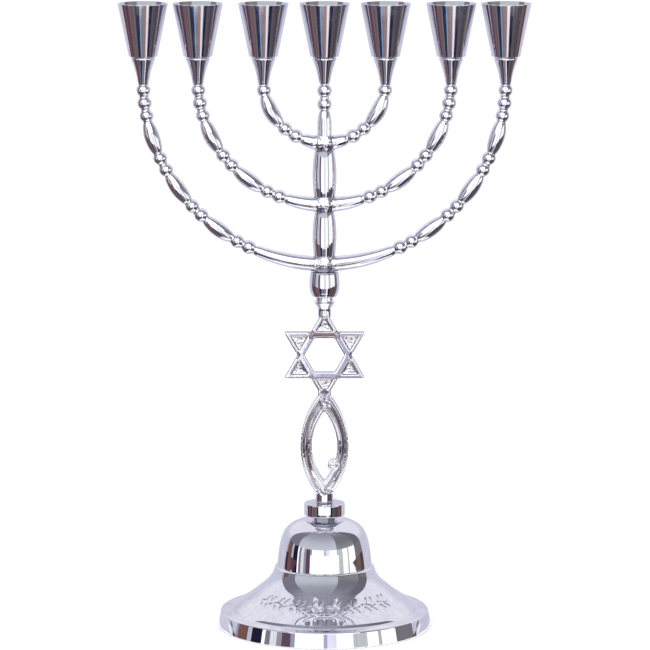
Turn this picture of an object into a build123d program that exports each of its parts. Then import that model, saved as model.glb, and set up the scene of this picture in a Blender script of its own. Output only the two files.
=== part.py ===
from build123d import *
import os
from math import atan2, cos, hypot, pi, sin, sqrt

# Seven-branch candelabrum on a bell foot. Millimetres, +Z up, front towards -Y.
# The origin is the centre of the circle that the bell's rim stands on.

# Clearances of the joints
SPIGOT_CLEARANCE = 0.10        # radial, plain spigot in its bore
THREAD_CLEARANCE = 0.05        # radial, thread drawn as a plain shank in a plain hole
BOLT_CLEARANCE = 0.25          # radial, bolt passing through a drilled hole
OVERCUT = 1.0                  # drills and cutters run this far past the face that they leave by

# Bell foot
FOOT_RADIUS = 43.7             # lowest edge of the flared rim
RIM_FLARE = 1.5                # the rim's wall leans in by this much
RIM_HEIGHT = 6.4
LAND_WIDTH = 4.2               # flat land on top of the rim
LAND_RISE = 0.6                # the land climbs this much towards the skirt
STEP_WIDTH = 0.6               # the skirt's lower edge stands in from the land
STEP_HEIGHT = 0.9
BELL_LEDGE_Z = 24.5            # turned line where body meets skirt
BELL_LEDGE_RADIUS = 20.1
BELL_LEDGE_WIDTH = 0.7
BELL_BODY_RADIUS = 18.1        # where the shoulder starts
SHOULDER_Z = 33.5
DOME_HEIGHT = 10.4             # from the shoulder to the crest of the dome
CREST_RADIUS = 8.4
CROWN_DEPTH = 0.8              # the collar's seat lies this far below the crest
# Way out and way down, as shares of the skirt's width and height
SKIRT_CURVE = [(0.0, 0.0), (0.075, 0.2), (0.2, 0.37), (0.4, 0.55), (0.62, 0.73), (0.82, 0.87), (1.0, 1.0)]
BELL_WALL = 1.8
CROWN_WALL = 3.0

# Base collar
COLLAR_NECK_RADIUS = 5.2
COLLAR_NECK_HEIGHT = 2.6
COLLAR_RADIUS = 8.3
COLLAR_HEIGHT = 5.0
COLLAR_CHAMFER = 0.3
COLLAR_SPIGOT_RADIUS = 3.4     # spigot under the collar, in the bell's crown
COLLAR_SPIGOT_LENGTH = 1.6

# Seal panel: boss, fish and six-pointed star in one casting
PANEL_THICKNESS = 4.6
WEB_THICKNESS = 2.4            # floor of the recesses and grooves
BOSS_RADIUS = 3.7
BOSS_HEIGHT = 5.6
BOSS_LIP = 0.35
BOSS_LIP_HEIGHT = 0.9
FISH_WIDTH = 19.5
FISH_LENGTH = 47.0
FISH_SINK = 5.5                # the fish's lower point runs this far down into the boss
WINDOW_WIDTH = 10.3
WINDOW_LENGTH = 28.6
FISH_EDGE = 1.3                # width of the raised edges beside the groove
FISH_POINT_EDGE = 2.5          # the same, measured along the points
GROOVE_DEPTH = 0.55
TAIL_WIDTH = 5.3
TAIL_BEAD_RADIUS = 1.6
TAIL_BEAD_RISE = 17.2          # the bead's centre above the middle of the fish
EYE_RADIUS = 2.3
EYE_HOLLOW_RADIUS = 1.3
EYE_DROP = 7.9                 # below the middle of the fish
EYE_INSET = 0.2                # how far the eye ring bites past the window's edge
STAR_RADIUS = 18.9             # centre to point
STAR_BAR = 2.4
STAR_CORNER = 0.7              # rounding inside the hexagon
STAR_OVERLAP = 5.0             # the star's lowest point below the fish's upper point
NECK_STUB_RADIUS = 2.65
NECK_STUB_HEIGHT = 3.4
FLANGE_RADIUS = 4.4
FLANGE_HEIGHT = 2.9
WAIST_RADIUS = 3.45
WAIST_HEIGHT = 2.0
PANEL_SPIGOT_LENGTH = 3.0      # the waist runs on this far up into the socket

# Stem
SOCKET_TOP_RADIUS = 6.1
SOCKET_BOTTOM_RADIUS = 5.4
SOCKET_HEIGHT = 10.2
SOCKET_ROUNDING = 0.8
HUB_RADIUS = 4.0
HUB_HEIGHT = 6.4               # thickness of each branch where the stem passes through
BARREL_END_RADIUS = 3.9
BARREL_FOOT_RADIUS = 4.3
BARREL_BULGE = 0.75
STEM_TOP_RADIUS = 2.9          # foot of the half barrel that carries the middle cup
HALF_BARREL_HEIGHT = 9.6
HALF_BARREL_BELLY = 0.45       # share of its height up to which it stays full
STEM_BEADS = 2
ROD_RADIUS = 1.5
ROD_GRIP = 5.0                 # thread engaged in the seal panel below its waist
ROD_TOP_GRIP = 6.0             # thread engaged in the top stem piece

# Branches: half ellipses that share one centre level
REACHES = {"inner_branch": 24.4, "middle_branch": 50.6, "outer_branch": 72.5}
DROPS = {"inner_branch": 24.4, "middle_branch": 49.3, "outer_branch": 73.4}
BEADING = {"inner_branch": "BLBB", "middle_branch": "BBBLBBLBB", "outer_branch": "BBBLBBLBBLBB"}
BEAD_RADIUS = 2.88
BEAD_PITCH = 5.2
OLIVE_RADIUS = 3.1
OLIVE_PITCH = 12.8
NECK_RADIUS = 1.9
END_STEP = 0.25                # olives and plain lengths end this much proud of the necks
ARM_MIDDLE_RADIUS = 2.95       # plain length that crosses the stem
ARC_STEPS = 2000               # steps in which lengths along a branch are measured
TIP_RADIUS = 4.9               # top of the taper under each cup
TIP_BOTTOM_RADIUS = 2.2
TIP_HEIGHT = 11.0
TIP_SHOULDER = 1.0
TIP_WAIST = 0.45               # how hollow the taper's side is

# Candle cups and their screws
CUP_RIM_RADIUS = 10.1
CUP_FOOT_RADIUS = 5.75
CUP_HEIGHT = 21.2
CUP_WALL = 0.9
CUP_FLOOR = 1.2
SCREW_RADIUS = 1.5
SCREW_LENGTH = 8.0
SCREW_HEAD_RADIUS = 2.8
SCREW_HEAD_HEIGHT = 1.6
SCREW_HEAD_EDGE = 0.5
SCREW_SLOT = 0.8
TAPPED_DEPTH = 9.0

# Base screw and washer
BASE_SCREW_RADIUS = 2.0
BASE_SCREW_HEAD_RADIUS = 3.8
BASE_SCREW_HEAD_HEIGHT = 2.4
BASE_SCREW_HEAD_EDGE = 0.8
BASE_SCREW_SLOT = 1.0
BASE_SCREW_GRIP = 4.6          # thread engaged in the boss
WASHER_RADIUS = 6.0
WASHER_THICKNESS = 1.0
HOLE_END = 0.5                 # blind holes run this far past what is in them

# Radii of the foot, from the outside in
RIM_TOP_RADIUS = FOOT_RADIUS - RIM_FLARE
LAND_INNER_RADIUS = RIM_TOP_RADIUS - LAND_WIDTH
STEP_RADIUS = LAND_INNER_RADIUS - STEP_WIDTH

# Levels, from the table up
LAND_Z = RIM_HEIGHT + LAND_RISE
STEP_Z = LAND_Z + STEP_HEIGHT
CREST_Z = SHOULDER_Z + DOME_HEIGHT
CROWN_Z = CREST_Z - CROWN_DEPTH
COLLAR_Z = CROWN_Z + COLLAR_NECK_HEIGHT
BOSS_Z = COLLAR_Z + COLLAR_HEIGHT
BOSS_TOP_Z = BOSS_Z + BOSS_HEIGHT
FISH_Z = BOSS_TOP_Z - FISH_SINK + FISH_LENGTH / 2
STAR_Z = FISH_Z + FISH_LENGTH / 2 - STAR_OVERLAP + STAR_RADIUS
STUB_Z = STAR_Z + STAR_RADIUS
FLANGE_TOP_Z = STUB_Z + FLANGE_HEIGHT
SOCKET_Z = FLANGE_TOP_Z + WAIST_HEIGHT
OUTER_ARM_Z = SOCKET_Z + SOCKET_HEIGHT + HUB_HEIGHT / 2
ARC_Z = OUTER_ARM_Z + DROPS["outer_branch"]
ARM_Z = {name: ARC_Z - drop for name, drop in DROPS.items()}
CUP_Z = ARC_Z + TIP_HEIGHT - TIP_SHOULDER / 2

FRONT = Plane.XZ               # local y is +Z here, and its normal is -Y


def turned(outline):
    """Revolve a closed outline of (radius, height) edges about the stem's axis."""
    return revolve(make_face(Plane.XZ * outline), Axis.Z)


def polygon_turned(*points):
    """A solid turned from straight runs through (radius, height) points."""
    return turned(Polyline(*points, close=True))


def rod(radius, low, high, x=0.0):
    """An upright cylinder between two levels."""
    return Pos(x, 0, (low + high) / 2) * Cylinder(radius, high - low)


# ---------------------------------------------------------------- bell foot

def bell_outline_points():
    """The skirt's points from the turned line down to its lower edge."""
    run = STEP_RADIUS - BELL_LEDGE_RADIUS
    fall = BELL_LEDGE_Z - STEP_Z
    return [(BELL_LEDGE_RADIUS + out * run, BELL_LEDGE_Z - down * fall) for out, down in SKIRT_CURVE]


def inward(points, wall):
    """The same points moved square to the outline, into the bell."""
    moved = []
    for i, (r, z) in enumerate(points):
        r0, z0 = points[max(i - 1, 0)]
        r1, z1 = points[min(i + 1, len(points) - 1)]
        length = hypot(r1 - r0, z1 - z0)
        moved.append((r + (z1 - z0) / length * wall, z - (r1 - r0) / length * wall))
    return moved


def bell_inside(skirt):
    """Edges of the bell's inside, from the outer foot edge in and up to the axis."""
    inner_skirt = inward(skirt, BELL_WALL)
    foot_inner = FOOT_RADIUS - BELL_WALL
    rim_inner = RIM_TOP_RADIUS - BELL_WALL
    rim_ceiling = RIM_HEIGHT - BELL_WALL
    body_inner = BELL_BODY_RADIUS - BELL_WALL
    ceiling = CROWN_Z - CROWN_WALL
    dome_width = body_inner - CREST_RADIUS
    return [
        Line((FOOT_RADIUS, 0), (foot_inner, 0)),
        Line((foot_inner, 0), (rim_inner, rim_ceiling)),
        Line((rim_inner, rim_ceiling), inner_skirt[-1]),
        Spline(*reversed(inner_skirt)),
        Line(inner_skirt[0], (body_inner, SHOULDER_Z)),
        EllipticalCenterArc((CREST_RADIUS, SHOULDER_Z), dome_width, ceiling - SHOULDER_Z, arc_size=90),
        Line((CREST_RADIUS, ceiling), (0, ceiling)),
        Line((0, ceiling), (0, CROWN_Z)),
    ]


def bell_base():
    """The spun bell with its stepped rim, open underneath."""
    skirt = bell_outline_points()
    ledge_inner = (BELL_LEDGE_RADIUS - BELL_LEDGE_WIDTH, BELL_LEDGE_Z + BELL_LEDGE_WIDTH / 2)
    shoulder_width = BELL_BODY_RADIUS - CREST_RADIUS
    dome = EllipticalCenterArc((CREST_RADIUS, SHOULDER_Z), shoulder_width, DOME_HEIGHT, arc_size=90)
    outer = [
        Line((0, CROWN_Z), (COLLAR_NECK_RADIUS, CROWN_Z)),
        Line((COLLAR_NECK_RADIUS, CROWN_Z), (CREST_RADIUS, CREST_Z)),
        dome,
        Line((BELL_BODY_RADIUS, SHOULDER_Z), ledge_inner),
        Line(ledge_inner, skirt[0]),
        Spline(*skirt),
        Polyline(skirt[-1], (LAND_INNER_RADIUS, LAND_Z), (RIM_TOP_RADIUS, RIM_HEIGHT), (FOOT_RADIUS, 0)),
    ]
    shell = turned(Curve() + outer + bell_inside(skirt))
    ceiling = CROWN_Z - CROWN_WALL
    bolt_hole = rod(BASE_SCREW_RADIUS + BOLT_CLEARANCE, ceiling - OVERCUT, CROWN_Z + OVERCUT)
    seat_floor = CROWN_Z - COLLAR_SPIGOT_LENGTH - SPIGOT_CLEARANCE
    seat = rod(COLLAR_SPIGOT_RADIUS + SPIGOT_CLEARANCE, seat_floor, CROWN_Z + OVERCUT)
    return shell - bolt_hole - seat


def base_collar():
    """The turned disc between bell and boss, with its neck and spigot."""
    top = COLLAR_Z + COLLAR_HEIGHT
    bore = BASE_SCREW_RADIUS + BOLT_CLEARANCE
    spigot_end = CROWN_Z - COLLAR_SPIGOT_LENGTH
    return polygon_turned(
        (bore, spigot_end),
        (COLLAR_SPIGOT_RADIUS, spigot_end),
        (COLLAR_SPIGOT_RADIUS, CROWN_Z),
        (COLLAR_NECK_RADIUS, CROWN_Z),
        (COLLAR_NECK_RADIUS, COLLAR_Z),
        (COLLAR_RADIUS - COLLAR_CHAMFER, COLLAR_Z),
        (COLLAR_RADIUS, COLLAR_Z + COLLAR_CHAMFER),
        (COLLAR_RADIUS, top - COLLAR_CHAMFER),
        (COLLAR_RADIUS - COLLAR_CHAMFER, top),
        (bore, top),
    )


def base_washer():
    """Plain washer against the inside of the crown."""
    ceiling = CROWN_Z - CROWN_WALL
    disc = rod(WASHER_RADIUS, ceiling - WASHER_THICKNESS, ceiling)
    bore = BASE_SCREW_RADIUS + BOLT_CLEARANCE
    return disc - rod(bore, ceiling - WASHER_THICKNESS - OVERCUT, ceiling + OVERCUT)


def base_screw():
    """Pan-head screw from inside the bell, up into the boss of the seal panel."""
    seat = CROWN_Z - CROWN_WALL - WASHER_THICKNESS
    shank = rod(BASE_SCREW_RADIUS, seat, BOSS_Z + BASE_SCREW_GRIP)
    head = rod(BASE_SCREW_HEAD_RADIUS, seat - BASE_SCREW_HEAD_HEIGHT, seat)
    head = fillet(head.edges().group_by(Axis.Z)[0], BASE_SCREW_HEAD_EDGE)
    slot_length = 2 * BASE_SCREW_HEAD_RADIUS + OVERCUT
    slot = Box(slot_length, BASE_SCREW_SLOT, BASE_SCREW_HEAD_HEIGHT)
    slot = Pos(0, 0, seat - BASE_SCREW_HEAD_HEIGHT) * slot
    return head + shank - slot


# ---------------------------------------------------------------- seal panel

def upright(face, thickness):
    """Thicken a face drawn in the front plane, half to the front and half to the back."""
    return extrude(FRONT * face, thickness / 2, both=True)


def vesica(width, length):
    """The pointed oval where two equal circles cross, standing on its point."""
    radius = (length ** 2 + width ** 2) / (4 * width)
    shift = radius - width / 2
    return Pos(-shift, 0) * Circle(radius) & Pos(shift, 0) * Circle(radius)


def star_outline():
    """The six-pointed star as two crossed triangles, centred on zero."""
    triangle = RegularPolygon(STAR_RADIUS, 3, rotation=90)
    return triangle + Rot(0, 0, 180) * triangle


def triangle_recess(angle):
    """One of the six sunk triangles between the star's bars."""
    hexagon_radius = STAR_RADIUS / sqrt(3)
    point_side = hexagon_radius - (2 / sqrt(3) + 1 / 2) * STAR_BAR
    centre = STAR_RADIUS - hexagon_radius / sqrt(3) - STAR_BAR / 3
    return Rot(0, 0, angle) * Pos(centre, 0) * RegularPolygon(point_side / sqrt(3), 3)


def star_plate():
    """The star with its open hexagon and six recessed triangles, front and back."""
    window_radius = STAR_RADIUS / sqrt(3) - 2 * STAR_BAR / sqrt(3)
    hexagon = RegularPolygon(window_radius, 6)
    hexagon = fillet(hexagon.vertices(), STAR_CORNER)
    plate = upright(Pos(0, STAR_Z) * (star_outline() - hexagon), PANEL_THICKNESS)
    depth = (PANEL_THICKNESS - WEB_THICKNESS) / 2
    for step in range(6):
        recess = Pos(0, STAR_Z) * triangle_recess(30 + 60 * step)
        for side in (-1, 1):
            pocket = extrude(FRONT * recess, depth, both=True)
            plate -= Pos(0, side * PANEL_THICKNESS / 2, 0) * pocket
    return plate


def fish_plate():
    """The fish: two crossing curved bars with a sunk groove along each, and an open window."""
    body = Pos(0, FISH_Z) * vesica(FISH_WIDTH, FISH_LENGTH)
    window = Pos(0, FISH_Z) * vesica(WINDOW_WIDTH, WINDOW_LENGTH)
    groove_outer = vesica(FISH_WIDTH - 2 * FISH_EDGE, FISH_LENGTH - 2 * FISH_POINT_EDGE)
    groove_inner = vesica(WINDOW_WIDTH + 2 * FISH_EDGE, WINDOW_LENGTH + 2 * FISH_POINT_EDGE)
    groove = Pos(0, FISH_Z) * (groove_outer - groove_inner)
    plate = upright(body - window, PANEL_THICKNESS)
    for side in (-1, 1):
        cutter = extrude(FRONT * groove, GROOVE_DEPTH, both=True)
        plate -= Pos(0, side * PANEL_THICKNESS / 2, 0) * cutter
    return plate


def window_half_width(height):
    """Half the width of the fish's window at a height from its middle."""
    radius = (WINDOW_LENGTH ** 2 + WINDOW_WIDTH ** 2) / (4 * WINDOW_WIDTH)
    return sqrt(radius ** 2 - height ** 2) - (radius - WINDOW_WIDTH / 2)


def eye():
    """The fish's eye: a ring with a hollow, grown onto the right-hand bar."""
    x = window_half_width(EYE_DROP) - EYE_INSET
    place = Pos(x, 0, FISH_Z - EYE_DROP) * Rot(90, 0, 0)
    ring = place * Cylinder(EYE_RADIUS, PANEL_THICKNESS)
    hollow = place * Cylinder(EYE_HOLLOW_RADIUS, PANEL_THICKNESS + OVERCUT)
    floor = place * Cylinder(EYE_HOLLOW_RADIUS, WEB_THICKNESS)
    return ring, hollow, floor


def seal_panel():
    """Boss, fish, star and upper neck as one casting, with its two threaded holes."""
    boss = polygon_turned(
        (0, BOSS_Z),
        (BOSS_RADIUS, BOSS_Z),
        (BOSS_RADIUS, BOSS_TOP_Z - BOSS_LIP_HEIGHT),
        (BOSS_RADIUS + BOSS_LIP, BOSS_TOP_Z - BOSS_LIP_HEIGHT),
        (BOSS_RADIUS + BOSS_LIP, BOSS_TOP_Z),
        (0, BOSS_TOP_Z + BOSS_LIP),
    )
    ring, hollow, floor = eye()
    tail_top = FISH_Z + FISH_LENGTH / 2
    tail = Pos(0, 0, tail_top - STAR_OVERLAP / 2) * Box(TAIL_WIDTH, PANEL_THICKNESS, STAR_OVERLAP)
    bead = Pos(0, -PANEL_THICKNESS / 2, FISH_Z + TAIL_BEAD_RISE) * Sphere(TAIL_BEAD_RADIUS)
    neck = polygon_turned(
        (0, STUB_Z - NECK_STUB_HEIGHT),
        (NECK_STUB_RADIUS, STUB_Z - NECK_STUB_HEIGHT),
        (NECK_STUB_RADIUS, STUB_Z),
        (FLANGE_RADIUS, FLANGE_TOP_Z),
        (WAIST_RADIUS, FLANGE_TOP_Z),
        (WAIST_RADIUS, SOCKET_Z + PANEL_SPIGOT_LENGTH),
        (0, SOCKET_Z + PANEL_SPIGOT_LENGTH),
    )
    panel = boss + fish_plate() + star_plate() + tail + bead + neck + ring
    panel = panel - hollow + floor
    screw_end = BOSS_Z + BASE_SCREW_GRIP
    screw_hole = rod(BASE_SCREW_RADIUS + THREAD_CLEARANCE, BOSS_Z - OVERCUT, screw_end + HOLE_END)
    spigot_end = SOCKET_Z + PANEL_SPIGOT_LENGTH
    rod_hole = rod(ROD_RADIUS + THREAD_CLEARANCE, rod_foot_level() - HOLE_END, spigot_end + OVERCUT)
    return panel - screw_hole - rod_hole


# ---------------------------------------------------------------- stem

def rod_foot_level():
    """Lower end of the tie rod, inside the neck of the seal panel."""
    return SOCKET_Z - ROD_GRIP


def stem_top_foot():
    """Level where the top stem piece stands on the inner branch."""
    return ARM_Z["inner_branch"] + HUB_HEIGHT / 2


def tie_rod():
    """Threaded rod that holds the stem's pieces and the branches on the seal panel."""
    return rod(ROD_RADIUS, rod_foot_level(), stem_top_foot() + ROD_TOP_GRIP)


def stem_socket():
    """The cup-shaped piece under the outer branch; the panel's waist plugs into it."""
    top = SOCKET_Z + SOCKET_HEIGHT
    profile = Curve() + [
        Line((0, SOCKET_Z), (SOCKET_BOTTOM_RADIUS - SOCKET_ROUNDING, SOCKET_Z)),
        RadiusArc(
            (SOCKET_BOTTOM_RADIUS - SOCKET_ROUNDING, SOCKET_Z),
            (SOCKET_BOTTOM_RADIUS, SOCKET_Z + SOCKET_ROUNDING),
            -SOCKET_ROUNDING,
        ),
        Line((SOCKET_BOTTOM_RADIUS, SOCKET_Z + SOCKET_ROUNDING), (SOCKET_TOP_RADIUS, top)),
        Line((SOCKET_TOP_RADIUS, top), (0, top)),
        Line((0, top), (0, SOCKET_Z)),
    ]
    bore = rod(ROD_RADIUS + BOLT_CLEARANCE, SOCKET_Z - OVERCUT, top + OVERCUT)
    seat_top = SOCKET_Z + PANEL_SPIGOT_LENGTH + SPIGOT_CLEARANCE
    seat = rod(WAIST_RADIUS + SPIGOT_CLEARANCE, SOCKET_Z - OVERCUT, seat_top)
    return turned(profile) - bore - seat


def barrel(low, high):
    """A swelling stem piece between two branches, drilled for the tie rod."""
    middle = (low + high) / 2
    bulge = (BARREL_END_RADIUS + BARREL_FOOT_RADIUS) / 2 + BARREL_BULGE
    profile = Curve() + [
        Line((0, low), (BARREL_FOOT_RADIUS, low)),
        ThreePointArc((BARREL_FOOT_RADIUS, low), (bulge, middle), (BARREL_END_RADIUS, high)),
        Line((BARREL_END_RADIUS, high), (0, high)),
        Line((0, high), (0, low)),
    ]
    return turned(profile) - rod(ROD_RADIUS + BOLT_CLEARANCE, low - OVERCUT, high + OVERCUT)


def tip(x):
    """The taper that ends a branch or the stem, drilled for a cup's screw."""
    foot = ARC_Z - TIP_SHOULDER / 2
    shoulder = CUP_Z - TIP_SHOULDER
    waist = ((TIP_BOTTOM_RADIUS + TIP_RADIUS) / 2 - TIP_WAIST, (foot + shoulder) / 2)
    profile = Curve() + [
        Line((0, foot), (TIP_BOTTOM_RADIUS, foot)),
        ThreePointArc((TIP_BOTTOM_RADIUS, foot), waist, (TIP_RADIUS, shoulder)),
        RadiusArc((TIP_RADIUS, shoulder), (TIP_RADIUS - TIP_SHOULDER, CUP_Z), -TIP_SHOULDER),
        Line((TIP_RADIUS - TIP_SHOULDER, CUP_Z), (0, CUP_Z)),
        Line((0, CUP_Z), (0, foot)),
    ]
    return Pos(x, 0, 0) * turned(profile)


def tapped_hole(x):
    """Hole for a cup's screw, down from the seat of the cup."""
    return rod(SCREW_RADIUS + THREAD_CLEARANCE, CUP_Z - TAPPED_DEPTH, CUP_Z + OVERCUT, x)


def stem_top():
    """The middle cup's own taper, its beads and the half barrel on the inner branch."""
    foot = stem_top_foot()
    shoulder = foot + HALF_BARREL_HEIGHT
    profile = Curve() + [
        Line((0, foot), (STEM_TOP_RADIUS, foot)),
        ThreePointArc(
            (STEM_TOP_RADIUS, foot),
            (STEM_TOP_RADIUS, foot + HALF_BARREL_HEIGHT * HALF_BARREL_BELLY),
            (NECK_RADIUS, shoulder),
        ),
        Line((NECK_RADIUS, shoulder), (0, shoulder)),
        Line((0, shoulder), (0, foot)),
    ]
    piece = turned(profile) + rod(NECK_RADIUS, foot, ARC_Z) + tip(0)
    gap = (ARC_Z - shoulder) / STEM_BEADS
    first = shoulder + gap / 2
    for number in range(STEM_BEADS):
        piece += Pos(0, 0, first + number * gap) * Sphere(BEAD_RADIUS)
    rod_hole = rod(ROD_RADIUS + THREAD_CLEARANCE, foot - OVERCUT, foot + ROD_TOP_GRIP + HOLE_END)
    return piece - rod_hole - tapped_hole(0)


# ---------------------------------------------------------------- branches

def arc_point(reach, drop, angle):
    """Point of the branch's half ellipse, angle in radians below the right-hand tip."""
    return Vector(reach * cos(angle), 0, ARC_Z - drop * sin(angle))


def angle_at(reach, drop, distance):
    """Angle on the half ellipse at a distance along it from the tip."""
    step = pi / ARC_STEPS
    travelled = 0.0
    angle = 0.0
    while travelled < distance:
        angle += step
        travelled += hypot(reach * sin(angle), drop * cos(angle)) * step
    return angle


def olive(length):
    """A long bead, turned about its own Z axis and centred on it."""
    end = NECK_RADIUS + END_STEP
    profile = Curve() + [
        ThreePointArc((end, -length / 2), (OLIVE_RADIUS, 0), (end, length / 2)),
        Polyline((end, length / 2), (0, length / 2), (0, -length / 2), (end, -length / 2)),
    ]
    return turned(profile)


def bead_places(name):
    """Kind, angle and side of every bead along one side of a branch."""
    reach, drop = REACHES[name], DROPS[name]
    places = []
    distance = 0.0
    for kind in BEADING[name]:
        pitch = BEAD_PITCH if kind == "B" else OLIVE_PITCH
        places.append((kind, angle_at(reach, drop, distance + pitch / 2)))
        distance += pitch
    return places, angle_at(reach, drop, distance)


def bead_on_arm(kind, reach, drop, angle):
    """One bead or olive, turned to lie along the branch."""
    shape = Sphere(BEAD_RADIUS) if kind == "B" else olive(OLIVE_PITCH)
    along = atan2(reach * sin(angle), drop * cos(angle))
    point = arc_point(reach, drop, angle)
    return Pos(point.X, 0, point.Z) * Rot(0, along * 180 / pi, 0) * shape


def branch(name):
    """A pair of beaded arms in one casting, with its hub on the stem and a taper at each end."""
    reach, drop = REACHES[name], DROPS[name]
    places, centre_angle = bead_places(name)
    core_path = EllipticalCenterArc((0, 0), reach, drop, 180, arc_size=180)
    core_path = Pos(0, 0, ARC_Z) * (Plane.XZ * core_path)
    core = sweep(Plane((-reach, 0, ARC_Z), z_dir=(0, 0, -1)) * Circle(NECK_RADIUS), path=core_path)
    ends = [arc_point(reach, drop, pi - centre_angle), arc_point(reach, drop, centre_angle)]
    bottom = arc_point(reach, drop, pi / 2)
    plain_path = ThreePointArc(ends[0], bottom, ends[1])
    end_radius = NECK_RADIUS + END_STEP
    sections = [
        Plane(plain_path @ share, z_dir=plain_path % share) * Circle(radius)
        for share, radius in ((0, end_radius), (0.5, ARM_MIDDLE_RADIUS), (1, end_radius))
    ]
    plain = sweep(sections, path=plain_path, multisection=True)
    beads = []
    for kind, angle in places:
        beads.append(bead_on_arm(kind, reach, drop, angle))
        beads.append(bead_on_arm(kind, reach, drop, pi - angle))
    hub = rod(HUB_RADIUS, ARM_Z[name] - HUB_HEIGHT / 2, ARM_Z[name] + HUB_HEIGHT / 2)
    piece = core + [plain, hub, tip(-reach), tip(reach)] + beads
    bore = rod(ROD_RADIUS + BOLT_CLEARANCE, ARM_Z[name] - HUB_HEIGHT, ARM_Z[name] + HUB_HEIGHT)
    return piece - bore - tapped_hole(-reach) - tapped_hole(reach)


# ---------------------------------------------------------------- cups

def candle_cup(x):
    """One conical cup, open at the top, with a screw hole in its floor."""
    rim = CUP_Z + CUP_HEIGHT
    inner_foot = CUP_FOOT_RADIUS - CUP_WALL
    floor = CUP_Z + CUP_FLOOR
    hole = SCREW_RADIUS + BOLT_CLEARANCE
    return Pos(x, 0, 0) * polygon_turned(
        (hole, CUP_Z),
        (CUP_FOOT_RADIUS, CUP_Z),
        (CUP_RIM_RADIUS, rim),
        (CUP_RIM_RADIUS - CUP_WALL, rim),
        (inner_foot, floor),
        (hole, floor),
    )


def cup_screw(x):
    """Pan-head screw that clamps a cup to its taper."""
    seat = CUP_Z + CUP_FLOOR
    head = rod(SCREW_HEAD_RADIUS, seat, seat + SCREW_HEAD_HEIGHT)
    head = fillet(head.edges().group_by(Axis.Z)[-1], SCREW_HEAD_EDGE)
    slot = Box(2 * SCREW_HEAD_RADIUS + OVERCUT, SCREW_SLOT, SCREW_HEAD_HEIGHT)
    slot = Pos(0, 0, seat + SCREW_HEAD_HEIGHT) * slot
    return Pos(x, 0, 0) * (head + rod(SCREW_RADIUS, seat - SCREW_LENGTH, seat) - slot)


def cup_places():
    """Centres of the seven cups from left to right."""
    reaches = sorted(REACHES.values())
    return [-r for r in reversed(reaches)] + [0.0] + reaches


# ---------------------------------------------------------------- all pieces

def build_pieces():
    """Every separate piece by name."""
    half = HUB_HEIGHT / 2
    pieces = {
        "bell_base": bell_base(),
        "base_collar": base_collar(),
        "base_washer": base_washer(),
        "base_screw": base_screw(),
        "seal_panel": seal_panel(),
        "stem_socket": stem_socket(),
        "stem_barrel_lower": barrel(ARM_Z["outer_branch"] + half, ARM_Z["middle_branch"] - half),
        "stem_barrel_upper": barrel(ARM_Z["middle_branch"] + half, ARM_Z["inner_branch"] - half),
        "stem_top": stem_top(),
        "tie_rod": tie_rod(),
        "cup_screws": Compound(children=[cup_screw(x) for x in cup_places()]),
    }
    for name in REACHES:
        pieces[name] = branch(name)
    for number, x in enumerate(cup_places(), start=1):
        pieces[f"candle_cup_{number}"] = candle_cup(x)
    return pieces


os.makedirs("parts", exist_ok=True)
for piece_name, piece in build_pieces().items():
    export_step(piece, f"parts/{piece_name}.step")
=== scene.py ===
"""Seven-branch candelabrum on a bell foot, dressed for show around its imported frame.

Every length in the classes is in metres. Places along the stem come from the frame, so a piece always
sits where the engineering model has it. Front is -Y, up is +Z.
"""

import logging
import math
from collections.abc import Callable
from dataclasses import dataclass, field
from enum import Enum

import bpy
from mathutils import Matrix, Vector, noise


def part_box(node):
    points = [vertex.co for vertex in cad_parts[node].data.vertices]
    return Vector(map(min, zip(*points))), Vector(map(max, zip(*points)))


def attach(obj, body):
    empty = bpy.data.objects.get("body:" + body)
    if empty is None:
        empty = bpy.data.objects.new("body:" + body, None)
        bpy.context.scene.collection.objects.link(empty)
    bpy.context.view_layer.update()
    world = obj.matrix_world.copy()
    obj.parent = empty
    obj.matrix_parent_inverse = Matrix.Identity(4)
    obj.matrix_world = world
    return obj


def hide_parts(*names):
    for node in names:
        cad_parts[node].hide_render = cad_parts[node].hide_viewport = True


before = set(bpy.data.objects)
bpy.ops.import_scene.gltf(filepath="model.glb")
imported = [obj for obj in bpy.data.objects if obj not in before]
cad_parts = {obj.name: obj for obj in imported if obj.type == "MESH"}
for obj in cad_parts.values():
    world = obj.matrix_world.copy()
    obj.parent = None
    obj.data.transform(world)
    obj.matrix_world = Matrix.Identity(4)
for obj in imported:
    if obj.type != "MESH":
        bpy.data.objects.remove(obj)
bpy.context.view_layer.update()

MM = 0.001
BODY = "root"
log = logging.getLogger("candelabrum")

Outline = list[tuple[float, float]]


class Slot(Enum):
    """The record's material slots."""

    TURNED = "turned_plate"
    CAST = "cast_plate"
    CUP = "cup_plate"
    FASTENER = "fastener"


# --------------------------------------------------------------------------- modelling bench


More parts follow.
